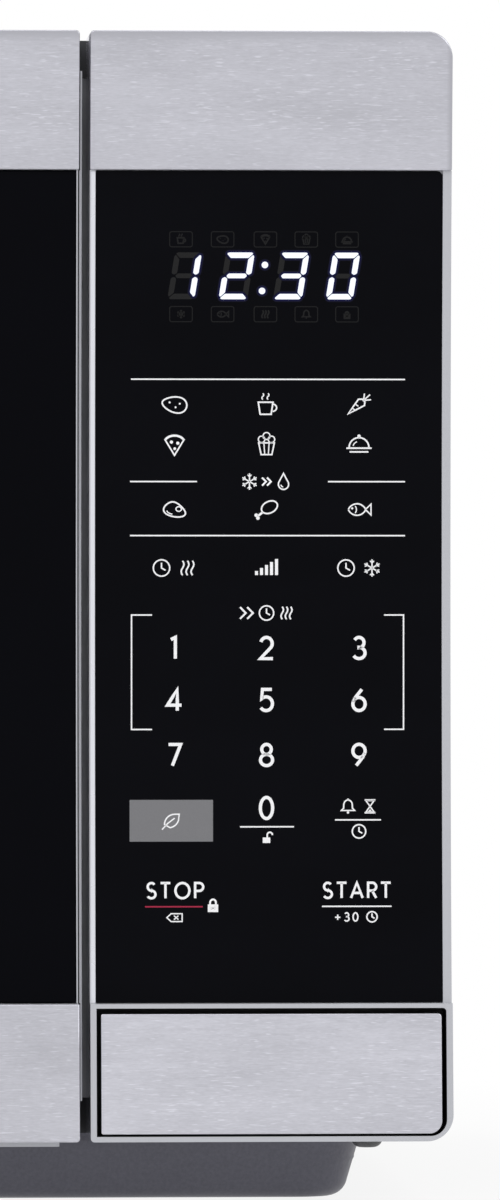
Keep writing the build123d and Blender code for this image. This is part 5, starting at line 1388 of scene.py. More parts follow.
@dataclass
class Keypad:
    """The white, red and grey print of the touch panel."""

    columns: Place = (174.5, 266.5, 359.0)
    digit_rows: tuple[float, ...] = (648.0, 700.0, 755.0, 808.0)
    digit_height: float = 21.2
    digit_stroke: float = 3.2
    words: tuple[tuple[Any, ...], ...] = (
        ("STOP", 146.8, 203.2, 898.1, 15.2, 2.4), ("START", 323.2, 390.8, 898.1, 15.2, 2.4),
        ("+30", 335.0, 358.0, 921.2, 8.2, 1.4))
    rule: float = 1.4
    rules: tuple[Place, ...] = (
        (131.0, 405.0, 379.3), (130.0, 197.0, 481.6), (328.0, 405.0, 481.6), (130.0, 405.0, 535.6),
        (240.0, 294.0, 826.8), (335.0, 381.0, 820.0), (322.0, 391.5, 906.5))
    brackets: tuple[Point, ...] = ((131.5, 152.0), (403.5, 384.0))
    bracket_rows: Point = (615.0, 729.4)
    stop_rule: tuple[Point, ...] = ((145.0, 906.6), (202.7, 906.6))
    key_lift: float = 0.00002
    key_left: float = 129.6
    key_top: float = 799.8
    key_width: float = 83.4
    key_height: float = 41.7
    key_corner: float = 0.4
    leaf_lift: float = 0.00005
    leaf_row: float = 820.6
    leaf_scale: float = 0.85

    def signs(self) -> list[Mark]:
        """Returns the keys' pictograms."""
        left, middle, right = self.columns
        rows = (
            (Sign.POTATO, left, 404.5, 1.1), (Sign.CUP, middle, 405.5, 1.1),
            (Sign.CARROT, right, 405.5, 1.05), (Sign.PIZZA, left, 445.0, 1.1),
            (Sign.POPCORN, middle, 444.5, 1.12), (Sign.CLOCHE, right, 443.0, 1.1),
            (Sign.FLAKE, middle - 17, 481.6, 0.95), (Sign.CHEVRONS, middle, 481.6, 0.62),
            (Sign.DROP, middle + 17, 481.6, 0.95), (Sign.STEAK, left, 509.5, 1.05),
            (Sign.DRUMSTICK, middle, 509.5, 1.05), (Sign.FISH, right, 509.5, 1.0),
            (Sign.CLOCK, left - 13, 568.0, 1.05), (Sign.HEAT, left + 13, 568.0, 0.9),
            (Sign.BARS, middle, 567.0, 1.0), (Sign.CLOCK, right - 13, 568.0, 1.05),
            (Sign.FLAKE, right + 13, 568.0, 1.0), (Sign.CHEVRONS, middle - 20, 613.0, 0.9),
            (Sign.CLOCK, middle, 613.0, 0.92), (Sign.HEAT, middle + 20, 613.0, 0.78),
            (Sign.OPEN_LOCK, middle, 837.5, 0.72), (Sign.BELL, right - 11, 806.5, 0.82),
            (Sign.HOURGLASS, right + 11, 806.5, 0.82), (Sign.CLOCK, right, 831.5, 0.86),
            (Sign.CLEAR, left, 917.5, 0.85), (Sign.LOCK, 213.0, 904.3, 1.0), (Sign.CLOCK, 372.0, 917.0, 0.66),
        )
        return [mark for sign, u, v, scale in rows for mark in moved(SIGN_MARKS[sign], u, v, scale)]

    def lines(self) -> list[Mark]:
        """Returns the white rules and brackets."""
        top, bottom = self.bracket_rows
        return [*(stroke(self.rule, (u0, v), (u1, v)) for u0, u1, v in self.rules),
                *(stroke(self.rule, (tip, top), (edge, top), (edge, bottom), (tip, bottom))
                  for edge, tip in self.brackets)]

    def figures(self) -> list[Mark]:
        """Returns the digits and the two generic words on the lower keys."""
        marks: list[Mark] = []
        places = [(u, v) for v in self.digit_rows[:3] for u in self.columns]
        for digit, (u, v) in zip("1234567890", (*places, (self.columns[1], self.digit_rows[3]))):
            marks += glyph(digit, u, v + self.digit_height / 2, self.digit_height, self.digit_stroke)
        return marks + [mark for word in self.words for mark in row(*word)]

    def build(self) -> None:
        """Prints the keypad in its three inks."""
        right, bottom = self.key_left + self.key_width, self.key_top + self.key_height
        key = rounded_outline((self.key_left, right), (self.key_top, bottom), (self.key_corner,) * 4, 3)
        leaf = moved(SIGN_MARKS[Sign.LEAF], self.key_left + self.key_width / 2, self.leaf_row,
                     self.leaf_scale)
        Print("keypad_white_print", WHITE_INK, marks=self.signs() + self.lines() + self.figures()).build()
        Print("keypad_red_print", RED_INK, marks=[stroke(self.rule, *self.stop_rule)]).build()
        Print("keypad_grey_key", GREY_INK, lift=self.key_lift, marks=[patch(*key)]).build()
        Print("keypad_grey_key_sign", WHITE_INK, lift=self.leaf_lift, marks=leaf).build()


@dataclass
class SegmentDisplay:
    """The clock display: lit slanted segments, their halo and the unlit rest."""

    cells: tuple[Point, ...] = ((167.3, 202.0), (218.4, 254.9), (273.0, 309.5), (325.6, 360.4))
    top: float = 252.5
    bottom: float = 299.3
    bar: float = 5.5
    lean: float = 9.3
    shown: str = "1230"
    lit_bars: tuple[tuple[str, str], ...] = (("0", "abcdef"), ("1", "bc"), ("2", "abged"), ("3", "abgcd"))
    icon_columns: tuple[float, ...] = (181.0, 222.6, 265.4, 306.3, 347.0)
    icon_scale: float = 0.5
    tile: Point = (22.6, 15.2)
    tile_corner: float = 2.0
    tile_line: float = 0.9
    bar_corner: float = 1.1
    unlit_lift: float = 0.00001
    halo_lift: float = 0.00002
    halo_step: float = 0.00001
    lit_lift: float = 0.00006
    dots: tuple[Place, ...] = ((264.9, 264.9, 3.3), (262.0, 290.9, 3.3))
    halos: tuple[Point, ...] = ((2.6, 1.0), (1.7, 2.0), (0.9, 5.0))
    icon_rows: tuple[tuple[float, tuple[Sign, ...]], ...] = (
        (239.4, (Sign.CUP, Sign.POTATO, Sign.PIZZA, Sign.POPCORN, Sign.CLOCHE)),
        (314.2, (Sign.FLAKE, Sign.FISH, Sign.HEAT, Sign.BELL, Sign.LOCK)))

    @property
    def slope(self) -> float:
        """How far right the figures lean per unit of height."""
        return sin(radians(self.lean)) / cos(radians(self.lean))

    def skewed(self, points: Iterable[Point]) -> tuple[Point, ...]:
        """Leans points to the right, as the figures lean."""
        middle = (self.top + self.bottom) / 2
        return tuple((u + (middle - v) * self.slope, v) for u, v in points)

    def bars(self, cell: Point) -> dict[str, tuple[Point, ...]]:
        """Returns the seven bars of one figure.

        Args:
            cell: the figure's left and right ends, with its lean.

        Returns:
            The corners of each bar, by its usual letter.
        """
        lean = self.slope * (self.bottom - self.top) / 2
        l, r, t, b, w = cell[0] + lean, cell[1] - lean, self.top, self.bottom, self.bar
        m, h, c = (t + b) / 2, self.bar / 2, 1.3

        def flipped(points: Iterable[Point], across: bool, down: bool) -> tuple[Point, ...]:
            """Mirrors corners about the figure's middle."""
            return tuple((l + r - u if across else u, t + b - v if down else v) for u, v in points)

        top = ((l + h, t), (r - h, t), (r - h + 1.4, t + 1.2), (r - w, t + w), (l + w, t + w),
               (l + h - 1.4, t + 1.2))
        side = ((l, t + h + 1.2), (l + 1.3, t + h - 0.4), (l + w, t + w + c), (l + w, m - h),
                (l + h, m - c + 0.3), (l, m - h))
        rung = ((l + h + c, m), (l + w + 0.6, m - h + 0.4), (r - w - 0.6, m - h + 0.4), (r - h - c, m),
                (r - w - 0.6, m + h - 0.4), (l + w + 0.6, m + h - 0.4))
        shapes = {"a": top, "d": flipped(top, False, True), "g": rung, "f": side,
                  "e": flipped(side, False, True), "b": flipped(side, True, False),
                  "c": flipped(side, True, True)}
        return {letter: self.skewed(rounded_corners(points, self.bar_corner))
                for letter, points in shapes.items()}

    def glow(self, points: tuple[Point, ...], reach: float) -> Mark:
        """Swells one bar evenly outwards for its halo.

        Args:
            points: the bar's corners.
            reach: how far.

        Returns:
            The swollen bar.
        """
        corners, spread = [Vector(p) for p in points], []
        middle = sum(corners, Vector((0.0, 0.0))) / len(corners)
        for i, corner in enumerate(corners):
            after = corners[(i + 1) % len(corners)] - corner
            run = (corner - corners[i - 1]).normalized() + after.normalized()
            out = Vector((run.y, -run.x)).normalized() * reach
            spot = corner + out if out.dot(corner - middle) > 0 else corner - out
            spread.append((spot.x, spot.y))
        return Mark(tuple(spread))

    def ghost_icons(self) -> list[Mark]:
        """Returns the unlit signs above and below the figures."""
        marks: list[Mark] = []
        wide, tall = self.tile
        for v, signs in self.icon_rows:
            for sign, u in zip(signs, self.icon_columns):
                outline = rounded_outline((u - wide / 2, u + wide / 2), (v - tall / 2, v + tall / 2),
                                          (self.tile_corner,) * 4, 3)
                marks += [stroke(self.tile_line, *outline, outline[0]),
                          *moved(SIGN_MARKS[sign], u, v, self.icon_scale)]
        return marks

    def build(self) -> None:
        """Builds the unlit print, the halo and the lit bars."""
        lit_letters = dict(self.lit_bars)
        lit, ghost = [], []
        for sign, cell in zip(self.shown, self.cells):
            for letter, points in self.bars(cell).items():
                (lit if letter in lit_letters[sign] else ghost).append(points)
        Print("display_unlit_bars", GHOST_INK, lift=self.unlit_lift, marks=[Mark(p) for p in ghost]).build()
        Print("display_unlit_signs", FAINT_INK, lift=self.unlit_lift, marks=self.ghost_icons()).build()
        for index, (reach, gain) in enumerate(self.halos):
            Print(f"display_halo_{index + 1}", replace(HALO_LIGHT, strength=HALO_LIGHT.strength * gain),
                  lift=self.halo_lift + self.halo_step * index,
                  marks=[*(self.glow(p, reach) for p in lit),
                         *(dot(u, v, radius + reach) for u, v, radius in self.dots)]).build()
        Print("display_lit_bars", SEGMENT_LIGHT, lift=self.lit_lift,
              marks=[*(Mark(p) for p in lit), *(dot(*place) for place in self.dots)]).build()


@dataclass
class HollowSheet:
    """A thin sheet that follows the hollow front."""

    node: str
    name: str
    slot: Slot
    radii: Radii
    proud: float
    thickness: float
    levels: int
    edge: float

    def build(self) -> Object:
        """Returns the sheet that stands for its node."""
        low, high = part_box(self.node)
        relief = Relief()
        relief.face(rounded_outline((low[0], high[0]), (low[2], high[2]), self.radii, 12))
        relief.slice_levels(low[2], high[2], self.levels)
        mesh = relief.raise_between(self.proud, self.proud - self.thickness, self.name)
        mesh = edge_broken(mesh, self.edge, 3, BROKEN_SHARP_OVER)
        return add_piece(self.name, mesh, BODY_OF[self.node], self.slot, (self.node,))


class NodeTree(Nodes):
    """A geometry tree with named inputs, built step by step."""

    KINDS = {float: "NodeSocketFloat", int: "NodeSocketInt", Material: "NodeSocketMaterial"}

    def __init__(self, name: str, sizes: dict[str, Any]) -> None:
        """Starts the tree.

        Args:
            name: the tree's name.
            sizes: the value of each named input.
        """
        super().__init__(bpy.data.node_groups.new(name, "GeometryNodeTree"))
        face = self.tree.interface
        face.new_socket("Geometry", in_out="INPUT", socket_type="NodeSocketGeometry")
        self.values: dict[str, Any] = {}
        for key, value in sizes.items():
            socket = face.new_socket(key, in_out="INPUT", socket_type=self.KINDS[type(value)])
            self.values[socket.identifier] = value
        face.new_socket("Geometry", in_out="OUTPUT", socket_type="NodeSocketGeometry")
        self.start = self.add("NodeGroupInput").outputs

    def make(self, kind: str, inputs: dict[Any, Any], **settings: Any) -> NodeSocket:
        """Adds a geometry node and returns its first output."""
        return self.add(kind, inputs, **settings).outputs[0]

    def result(self, source: Mesh, geometry: NodeSocket, centre: Place, turn: float,
               name: str) -> Mesh:
        """Ends the tree and runs it once.

        Args:
            source: the mesh that the tree starts from.
            geometry: the geometry before it is placed and its instances are made real.
            centre: where it is placed.
            turn: how far it is turned about X.
            name: the finished mesh's name.

        Returns:
            The plain mesh.
        """
        placed = self.make("GeometryNodeTransform", {
            "Geometry": geometry, "Translation": centre, "Rotation": (turn, 0.0, 0.0)})
        real = self.make("GeometryNodeRealizeInstances", {0: placed})
        painted = self.make("GeometryNodeSetMaterial", {"Geometry": real, "Material": self.start["Finish"]})
        self.add("NodeGroupOutput", {"Geometry": painted})
        carrier = place_in_scene("tree_carrier", source)
        modifier = carrier.modifiers.new("repeat", "NODES")
        modifier.node_group = self.tree
        for identifier, value in self.values.items():
            modifier[identifier] = value
        made = applied(carrier)
        made.name = name
        return made


@dataclass
class WindowScreen:
    """The perforated sheet behind the door's glass."""

    pitch: float = 0.00345
    hole: float = 0.00118
    sides: int = 6
    cell_reach: float = 2e-5

    def build(self) -> Object:
        """Returns the sheet with its holes."""
        low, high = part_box("window_screen")
        width, thickness, height = high - low
        paint = material_for(SCREEN_PAINT, "screen_paint")
        made = NodeTree("perforated sheet", {
            "Width": width, "Height": height, "Thickness": thickness,
            "Holes Across": round(width / self.pitch), "Holes Up": round(height / self.pitch),
            "Hole Radius": self.hole, "Hole Sides": self.sides, "Finish": paint})
        size = made.start
        step_x = made.reckon("DIVIDE", size["Width"], size["Holes Across"])
        step_y = made.reckon("DIVIDE", size["Height"], size["Holes Up"])
        outline = made.make("GeometryNodeCurvePrimitiveQuadrilateral", {"Width": step_x, "Height": step_y})
        hole = made.make("GeometryNodeCurvePrimitiveCircle", {
            "Resolution": size["Hole Sides"], "Radius": size["Hole Radius"]}, mode="RADIUS")
        cell = made.make("GeometryNodeFillCurve", {"Curve": made.joined(outline, hole)})
        grid = made.make("GeometryNodeMeshGrid", {
            "Size X": made.reckon("SUBTRACT", size["Width"], step_x),
            "Size Y": made.reckon("SUBTRACT", size["Height"], step_y),
            "Vertices X": size["Holes Across"], "Vertices Y": size["Holes Up"]})
        cells = made.make("GeometryNodeInstanceOnPoints", {"Points": grid, "Instance": cell})
        sheet = made.make("GeometryNodeMergeByDistance", {
            "Geometry": made.make("GeometryNodeRealizeInstances", {0: cells}), "Distance": self.cell_reach})
        raised = made.make("GeometryNodeExtrudeMesh", {
            "Mesh": sheet, "Offset Scale": size["Thickness"], "Individual": False}, mode="FACES")
        closed = made.joined(raised, made.make("GeometryNodeFlipFaces", {"Mesh": sheet}))
        whole = made.make("GeometryNodeMergeByDistance", {"Geometry": closed, "Distance": MERGE_REACH})
        middle = ((low[0] + high[0]) / 2, high[1], (low[2] + high[2]) / 2)
        mesh = made.result(bpy.data.meshes.new("screen_source"), whole, middle, pi / 2, "perforated_screen")
        return add_piece("perforated_screen", mesh, "door", Slot.DOOR_PAN, ("window_screen",), paint)


@dataclass
class CrossScrews:
    """Domed screw heads with a cross recess, repeated on a grid."""

    head_radius: float = 0.0038
    head_height: float = 0.002
    recess: float = 0.0011
    recess_reach: float = 0.0021
    recess_width: float = 0.00045
    shank_radius: float = 0.0018
    shank_length: float = 0.005
    steps: int = 32
    turns: int = 6
    crown_from: float = 0.0006
    crown_steps: int = 6
    sharp_over: float = 30.0

    def head(self) -> Mesh:
        """Returns one screw round the origin, its head towards +Z."""
        shape = bmesh.new()
        shank, length, head, crown = self.shank_radius, self.shank_length, self.head_radius, self.crown_from
        profile = [(shank * 0.5, -length), (shank, -length * 0.8)]
        halves = self.turns * 2
        profile += [(shank * (1.0 if i % 2 else 0.8), length * (0.75 * i / halves - 0.8))
                    for i in range(halves)]
        profile += [(shank, 0.0), (head * 0.96, 0.0), (head, 0.0002), (head, crown)]
        for i in range(1, self.crown_steps):
            angle = pi / 2 * i / self.crown_steps
            profile.append((head * (1 - 0.62 * (1 - cos(angle))),
                            crown + (self.head_height - crown) * sin(angle)))
        rings = [[shape.verts.new((r * cos(2 * pi * i / self.steps), r * sin(2 * pi * i / self.steps), z))
                  for i in range(self.steps)] for r, z in profile]
        for lower, upper in zip(rings, rings[1:]):
            for i in range(self.steps):
                j = (i + 1) % self.steps
                shape.faces.new((lower[i], lower[j], upper[j], upper[i]))
        shape.faces.new(list(reversed(rings[0])))
        a, w, top = self.recess_reach, self.recess_width, self.head_height
        plan = [(x * c - y * s, x * s + y * c) for c, s in ((1, 0), (0, 1), (-1, 0), (0, -1))
                for x, y in ((a, -w), (a, w), (w, w))]
        rim = [shape.verts.new((x, y, top)) for x, y in plan]
        floor = [shape.verts.new((x * 0.45, y * 0.8, top - self.recess)) for x, y in plan]
        following = [(i, (i + 1) % len(plan)) for i in range(len(plan))]
        bmesh.ops.bridge_loops(shape, edges=[
            *(e for e in shape.edges if all(v in rings[-1] for v in e.verts)),
            *(shape.edges.new((rim[i], rim[j])) for i, j in following)])
        for i, j in following:
            shape.faces.new((rim[i], rim[j], floor[j], floor[i]))
        shape.faces.new(floor)
        bmesh.ops.recalc_face_normals(shape, faces=shape.faces)
        return smoothed(to_mesh(shape, "screw_head"), self.sharp_over)

    def grid(self, name: str, node: str, slot: Slot, centre: Place, columns: tuple[int, float],
             rows: tuple[int, float], facing: float, scale: float = 1.0) -> Object:
        """Repeats the screw on an upright grid.

        Args:
            name: the piece's name.
            node: the node that it stands for.
            slot: the slot of its finish.
            centre: the middle of the grid, under the heads.
            columns: how many columns, and the width over them.
            rows: how many rows, and the height over them.
            facing: the turn about X that points the heads outwards.
            scale: how much larger than the usual head.

        Returns:
            The piece.
        """
        made = NodeTree(name, {
            "Columns": columns[0], "Width": columns[1], "Rows": rows[0], "Height": rows[1], "Scale": scale,
            "Finish": slot_material(slot)})
        size = made.start
        points = made.make("GeometryNodeMeshGrid", {
            "Size X": size["Width"], "Size Y": size["Height"], "Vertices X": size["Columns"],
            "Vertices Y": size["Rows"]})
        heads = made.make("GeometryNodeInstanceOnPoints", {
            "Points": points, "Instance": size["Geometry"], "Scale": size["Scale"]})
        mesh = made.result(self.head(), heads, centre, facing, name)
        return add_piece(name, mesh, BODY_OF[node], slot, (node,))


@dataclass
class Case:
    """The outer sheet case, its base, back and feet."""

    bead_height: float = 0.0123
    bead_half: float = 0.0007
    bead_reach: float = 0.00018
    upstand_shade_from: float = 0.002
    pan_sharp_over: float = 24.0

    def base(self) -> Object:
        """Returns the base pan, with the fine bead round its drop and its upstand front painted near-black as
        painted shade.
        """
        shape = packed_shape("base_plate")
        for level in (-self.bead_half, 0.0, self.bead_half):
            cut_at(shape, self.bead_height + level)
        shape.normal_update()
        for vert in shape.verts:
            if abs(vert.co.z - self.bead_height) < 1e-6:
                away = Vector((vert.normal.x, vert.normal.y, 0.0)).normalized()
                side = 1.0 if away.dot(vert.co) > 0 else -1.0
                vert.co += away * side * self.bead_reach
        mesh = evenly_shaded(to_mesh(shape, "base_pan"), self.pan_sharp_over)
        piece = add_piece("base_pan", mesh, BODY_OF["base_plate"], Slot.BASE, ("base_plate",))
        # Painted shade: the upstand's front faces above the fascia's bottom are painted near-black, standing
        # in for the shade deep in the gap.
        piece.data.materials.append(material_for(RECESS_PAINTED_SHADE, "upstand_painted_shade"))
        for face in piece.data.polygons:
            if face.normal.y < -0.9 and face.center.z > FASCIA.low + self.upstand_shade_from:
                face.material_index = 1
        return piece

    def build(self) -> None:
        """Builds the case."""
        Refined("outer_wrap", "case_wrap", Slot.CASE, clean=False).build()
        self.base()
        Refined("rear_panel", "back_panel", Slot.GALVANISED, clean=False).build()
        Refined("front_plate", "front_sheet", Slot.FRONT).build()
        Refined("feet", "rubber_feet", Slot.RUBBER, 0.0004).build()
        Refined("front_bumpers", "bumper_nubs", Slot.RUBBER, sharp_over=50.0, finish=NUB_RUBBER).build()
        Refined("cord_inlet_bush", "cord_bush", Slot.BLACK, clean=False).build()
        low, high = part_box("case_screws")
        middle, screws = (low + high) / 2, CrossScrews()
        width, _, height = high - low - Vector((2, 0, 2)) * screws.head_radius
        screws.grid("case_back_screws", "case_screws", Slot.SCREW,
                    (middle.x, high.y - screws.head_height, middle.z), (3, width), (2, height), -pi / 2)


@dataclass
class OvenCavity:
    """The enamelled cavity, its light and its wave inlet."""

    sharp_over: float = 40.0

    def build(self) -> None:
        """Builds the cavity."""
        Refined("cavity_shell", "cavity_liner", Slot.CAVITY, clean=False, sharp_over=self.sharp_over).build()
        dress(("waveguide_cover",), Slot.MICA)
        dress(("lamp_holder",), Slot.GALVANISED)
        Refined("lamp_bulb", "cavity_lamp", Slot.TRAY, clean=False).build()


@dataclass
class Door:
    """The door with its strips, tinted glass, screen and hinges."""

    edge: float = 0.00035
    frame_edge: float = 0.00045
    glass: float = 0.003
    glass_recess: float = 0.0003
    glass_edge: float = 0.0004
    glass_radii: Radii = (0.001, 0.0005, 0.0005, 0.001)
    # Where the painted shade line runs beside the door's right edge, beside the glass and beside the steel.
    shade_line_beside_glass: Point = (-0.00035, 0.0001)
    shade_line_beside_steel: Point = (-0.00002, 0.00034)
    hinge_screw: float = 0.75
    hinge_screw_reach: float = 0.0015
    hinge_screw_span: float = 0.0064

    def moulding_paint(self) -> MetallicPaint:
        """Returns the moulding's paint, with a painted shade line before the bead on its right edge."""
        right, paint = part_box("door_top_strip")[1].x, SLOT_FINISH[Slot.SILVER]
        rows = ((self.shade_line_beside_glass, FASCIA.band_low, FASCIA.band_high),
                (self.shade_line_beside_steel, FASCIA.low, FASCIA.band_low),
                (self.shade_line_beside_steel, FASCIA.band_high, FASCIA.high))
        return replace(paint, shade_lines=tuple((right + reach[0], right + reach[1], low, high)
                                            for reach, low, high in rows))

    def build(self) -> None:
        """Builds the door."""
        Refined("door_frame", "door_moulding", Slot.SILVER, self.frame_edge,
                finish=self.moulding_paint()).build()
        Refined("door_top_strip", "door_upper_steel", Slot.STEEL, self.edge).build()
        # The lower strip takes the darker steel copy as painted shade.
        Refined("door_bottom_strip", "door_lower_steel", Slot.STEEL, self.edge, finish=SHADED_LOWER_STEEL).build()
        HollowSheet("door_glass", "door_tinted_glass", Slot.TINT, self.glass_radii, -self.glass_recess,
                    self.glass, FRONT_LEVELS, self.glass_edge).build()
        Refined("door_pan", "door_inner_pan", Slot.DOOR_PAN, 0.0003).build()
        Refined("choke_cover", "choke_frame", Slot.BLACK, 0.0004).build()
        WindowScreen().build()
        dress(("window_film",), Slot.FILM)
        for end in ("lower", "upper"):
            Refined(f"hinge_bracket_{end}", f"{end}_hinge", Slot.GALVANISED, 0.0002).build()
        low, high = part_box("hinge_screws")
        middle = (low + high) / 2
        CrossScrews(shank_length=0.004).grid(
            "hinge_cross_screws", "hinge_screws", Slot.SCREW,
            (middle.x, low.y + self.hinge_screw_reach, middle.z), (1, 0.0),
            (2, high.z - low.z - self.hinge_screw_span), pi / 2, self.hinge_screw)


@dataclass
class Latch:
    """The door's hooks, the lever that lifts them and the switches that they work."""

    edge: float = 0.0002
    spring_seat: float = -0.190
    pressed_share: float = 0.45

    def return_spring(self) -> None:
        """Draws the button's spring at its pressed length, so that it stays behind the plate."""
        shape = bmesh.new()
        shape.from_mesh(frame["nodes"]["button_spring"].data)
        for vert in shape.verts:
            vert.co.y = self.spring_seat + (vert.co.y - self.spring_seat) * self.pressed_share
        mesh = smoothed(to_mesh(shape, "return_spring"), 40.0)
        add_piece("return_spring", mesh, BODY_OF["button_spring"], Slot.SCREW, ("button_spring",))

    def build(self) -> None:
        """Builds the latch."""
        Refined("latch_hooks", "door_latch_hooks", Slot.BLACK, self.edge).build()
        Refined("release_lever", "release_rocker", Slot.BLACK, self.edge).build()
        dress(("latch_spring",), Slot.SCREW)
        self.return_spring()
        dress(("interlock_bracket", "lever_pin"), Slot.GALVANISED)
        dress(("micro_switches",), Slot.BLACK)


@dataclass
class ControlPanel:
    """The control panel's moulding, its steel cover, its touch overlay and what sits behind."""

    edge: float = 0.00035
    overlay: float = 0.0012
    overlay_recess: float = 0.0003
    overlay_edge: float = 0.0001
    overlay_radii: Radii = (0.0004, 0.0004, 0.0014, 0.0004)
    highlight_margin: float = 0.00012
    highlight_proud: float = 0.00006
    pocket_from: float = 0.0009
    pocket_floor: float = -0.1897
    pocket_gap: float = 0.0016
    keypad: Keypad = field(default_factory=Keypad)
    display: SegmentDisplay = field(default_factory=SegmentDisplay)

    def edge_highlight(self) -> Object:
        """Returns a brighter sheet over the moulding's left edge, a painted highlight that makes the left
        trim lighter than the right.
        """
        low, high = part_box("control_panel_frame")[0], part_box("touch_overlay")[0]
        # Painted highlight over the left trim.
        relief = Relief()
        relief.face(rounded_outline((low[0] + 0.00035, high[0] - self.highlight_margin),
                                    (FASCIA.band_low + 0.0002, FASCIA.band_high - 0.0004), (0.0002,) * 4, 3))
        relief.slice_levels(FASCIA.band_low, FASCIA.band_high, FRONT_LEVELS)
        mesh = relief.raise_between(self.highlight_proud, -self.highlight_proud, "panel_edge_highlight")
        return add_piece("panel_edge_highlight", smoothed(mesh, 40.0), "cabinet", Slot.SILVER,
                         material=material_for(EDGE_HIGHLIGHT_PAINT, "edge_painted_highlight"))

    def paint_shade_and_light(self, mesh: Mesh) -> None:
        """Darkens the button's pocket as painted shade and lightens the wall beside the door as painted
        light.

        Args:
            mesh: the moulding's mesh.
        """
        mesh.materials.append(material_for(RECESS_PAINTED_SHADE, "pocket_painted_shade"))
        mesh.materials.append(material_for(WALL_PAINTED_LIGHT, "wall_painted_light"))
        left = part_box("control_panel_frame")[0].x
        low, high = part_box("button_plate")
        for face in mesh.polygons:
            x, y, z = face.center
            beside = max(low.x - x, x - high.x, low.z - z, z - high.z) < self.pocket_gap
            if beside and FASCIA.depth(z, -self.pocket_from) < y < self.pocket_floor:
                # Painted shade on the pocket's faces round the button.
                face.material_index = 1
            elif face.normal.x < -0.9 and x < left + self.edge:
                # Painted light on the side wall that faces the door.
                face.material_index = 2

    def build(self) -> None:
        """Builds the panel and prints it."""
        moulding = Refined("control_panel_frame", "panel_moulding", Slot.SILVER, self.edge).build()
        self.paint_shade_and_light(moulding.data)
        self.edge_highlight()
        Refined("panel_top_cover", "panel_upper_steel", Slot.STEEL, self.edge).build()
        HollowSheet("touch_overlay", "panel_overlay", Slot.OVERLAY, self.overlay_radii, -self.overlay_recess,
                    self.overlay, FRONT_LEVELS, self.overlay_edge).build()
        dress(("display_module",), Slot.DISPLAY)
        dress(("control_board",), Slot.BOARD)
        self.keypad.build()
        self.display.build()


@dataclass
class DoorButton:
    """The push button that opens the door, with its steel plate."""

    plate_radii: Radii = (0.0005, 0.0034, 0.001, 0.0005)
    proud: float = 0.0036
    sheet: float = 0.0008
    edge: float = 0.0002

    def build(self) -> None:
        """Builds the button."""
        HollowSheet("button_plate", "button_steel", Slot.STEEL, self.plate_radii, self.proud, self.sheet, 6,
                    self.edge).build()
        Refined("button_body", "button_moulding", Slot.BLACK, self.edge).build()


@dataclass
class Turntable:
    """The glass tray on its roller ring, and the drive under it."""

    wheels: int = 3
    sharp_over: float = 40.0
    glass_sharp_over: float = 60.0

    def build(self) -> None:
        """Builds the turntable."""
        Refined("glass_tray", "pressed_glass_tray", Slot.TRAY, clean=False,
                sharp_over=self.glass_sharp_over).build()
        moulded = {"roller_ring": "roller_guide", "turntable_coupler": "drive_coupler"}
        moulded.update({f"roller_wheel_{n}": f"guide_wheel_{n}" for n in range(1, self.wheels + 1)})
        for node, name in moulded.items():
            Refined(node, name, Slot.COUPLER, clean=False, sharp_over=self.sharp_over).build()
        dress(("turntable_motor",), Slot.MOTOR)
        dress(("turntable_shaft",), Slot.GALVANISED)


@dataclass
class PowerUnit:
    """The magnetron, the transformer and the parts of their circuit."""

    plated: tuple[str, ...] = ("waveguide", "magnetron_yoke", "magnetron_filter")
    coppery: tuple[str, ...] = ("magnetron_anode", "transformer_windings")
    bare: tuple[str, ...] = ("magnetron_fins", "capacitor", "thermal_cutouts")

    def build(self) -> None:
        """Builds the power unit."""
        dress(self.plated, Slot.GALVANISED)
        dress(self.coppery, Slot.COPPER)
        dress(self.bare, Slot.ALUMINIUM)
        dress(("transformer_core",), Slot.CORE)
        dress(("high_voltage_diode",), Slot.EPOXY)
        dress(("noise_filter_board",), Slot.BOARD)


@dataclass
class Cooling:
    """The fan, its housing and the duct over the magnetron."""

    sharp_over: float = 40.0

    def build(self) -> None:
        """Builds the cooling."""
        for node, name in (("fan_housing", "fan_shroud"), ("fan_blade", "fan_rotor")):
            Refined(node, name, Slot.BLACK, clean=False, sharp_over=self.sharp_over).build()
        dress(("air_duct",), Slot.BLACK)
        dress(("fan_motor",), Slot.MOTOR)


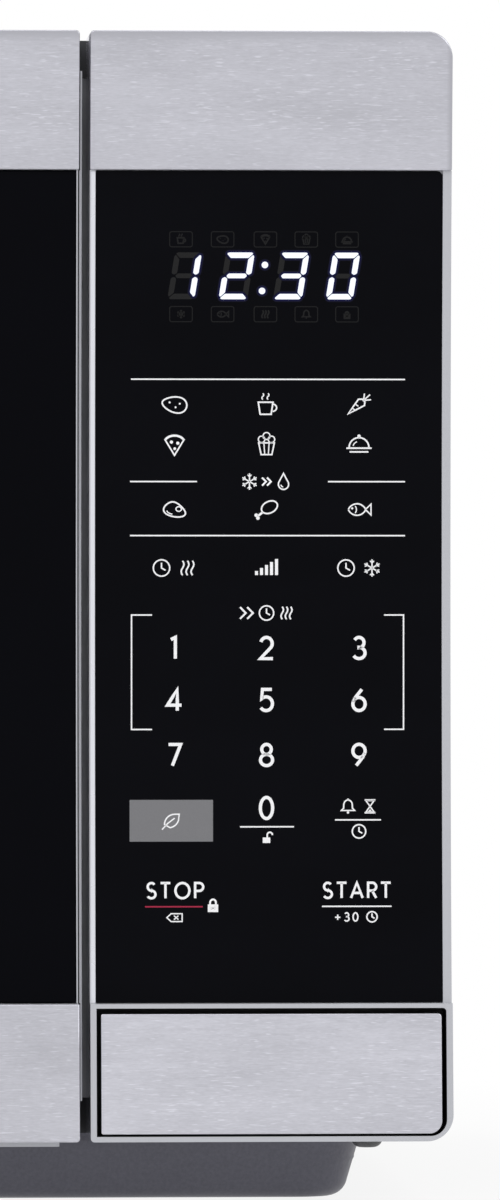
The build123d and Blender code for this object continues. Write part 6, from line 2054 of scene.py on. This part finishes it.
@dataclass
class Stage:
    """The pale floor, the soft lights and the camera."""

    floor_half: float = 6.0
    floor_tone: float = 0.82
    open_share: float = 0.88
    open_from: float = 0.26
    open_to: float = 0.60
    sky: float = 0.62
    lamps: tuple[tuple[str, Place, Place, Point, float], ...] = (
        ("key_lamp", (-1.2, -2.2, 2.2), (0.0, 0.0, 0.15), (1.8, 1.4), 34.0),
        ("fill_lamp", (2.0, -1.6, 1.4), (0.0, 0.0, 0.15), (1.6, 1.6), 16.0),
        ("top_lamp", (0.0, 0.6, 2.6), (0.0, 0.0, 0.1), (2.0, 2.0), 18.0))

    def floor(self) -> None:
        """Lays the floor: it takes shadow, and shows white to the camera."""
        g = Graph("pale_floor")
        tone = g.tones(g.noise(3.0, 3.0), (self.floor_tone,) * 3 + (1.0,), 0.985, 1.0)
        matt = g.add("ShaderNodeBsdfPrincipled", {
            "Base Color": tone, "Roughness": 0.9, "Specular IOR Level": 0.0}).outputs["BSDF"]
        glow = g.add("ShaderNodeEmission", {"Color": WHITE, "Strength": 1.0}).outputs["Emission"]
        away = g.add("ShaderNodeVectorMath", {0: g.place}, operation="LENGTH").outputs["Value"]
        fade = g.remap(away, self.open_from, self.open_to, self.open_share, 1.0)
        mix = g.add("ShaderNodeMixShader", {0: g.reckon("MULTIPLY", g.in_view(), fade), 1: matt, 2: glow})
        g.add("ShaderNodeOutputMaterial", {"Surface": mix.outputs[0]})
        shape = bmesh.new()
        h = self.floor_half
        shape.faces.new([shape.verts.new((x, y, 0)) for x, y in block(-h, h, -h, h)])
        mesh = to_mesh(shape, "floor")
        mesh.materials.append(g.material)
        place_in_scene("floor", mesh)

    def world(self) -> None:
        """Sets an even sky, white where it is seen or reflected."""
        world = bpy.data.worlds.new("studio_sky")
        world.use_nodes = True
        world.node_tree.nodes.clear()
        n = Nodes(world.node_tree)
        level = n.remap(n.in_view(), 0.0, 1.0, self.sky, 1.0)
        sky = n.add("ShaderNodeBackground", {"Color": WHITE, "Strength": level}).outputs[0]
        n.add("ShaderNodeOutputWorld", {"Surface": sky})
        bpy.context.scene.world = world

    def hang(self, name: str, data: bpy.types.ID, place: Place, aim: Place) -> Object:
        """Hangs a lamp or a camera at a place, pointing at another.

        Args:
            name: its name.
            data: the lamp's or the camera's settings.
            place: where it hangs.
            aim: where it points.

        Returns:
            The object.
        """
        item = place_in_scene(name, data)
        item.location = place
        item.rotation_euler = (Vector(aim) - Vector(place)).to_track_quat("-Z", "Y").to_euler()
        return item

    def camera(self) -> None:
        """Sets the camera where the photograph's one stood."""
        data = bpy.data.cameras.new("studio_camera")
        data.sensor_width, data.lens = VIEW.sensor, VIEW.lens
        data.clip_start, data.clip_end = 0.05, 50.0
        bpy.context.scene.camera = self.hang("studio_camera", data, VIEW.eye, VIEW.aim)

    def build(self) -> None:
        """Builds the studio."""
        self.floor()
        self.world()
        for name, place, aim, (width, depth), power in self.lamps:
            light = bpy.data.lights.new(name, "AREA")
            light.shape = "RECTANGLE"
            light.size, light.size_y, light.energy = width, depth, power
            self.hang(name, light, place, aim)
        self.camera()
        bpy.context.scene.view_settings.view_transform = "Standard"


def main() -> None:
    """Builds the microwave's pieces in order, then the studio."""
    logging.basicConfig(level=logging.INFO, format="%(message)s")
    Stage().build()
    for part in (Case(), OvenCavity(), Door(), Latch(), ControlPanel(), DoorButton(), Turntable(),
                 PowerUnit(), Cooling()):
        LOG.info("building %s", type(part).__name__)
        part.build()


if __name__ == "__main__":
    main()
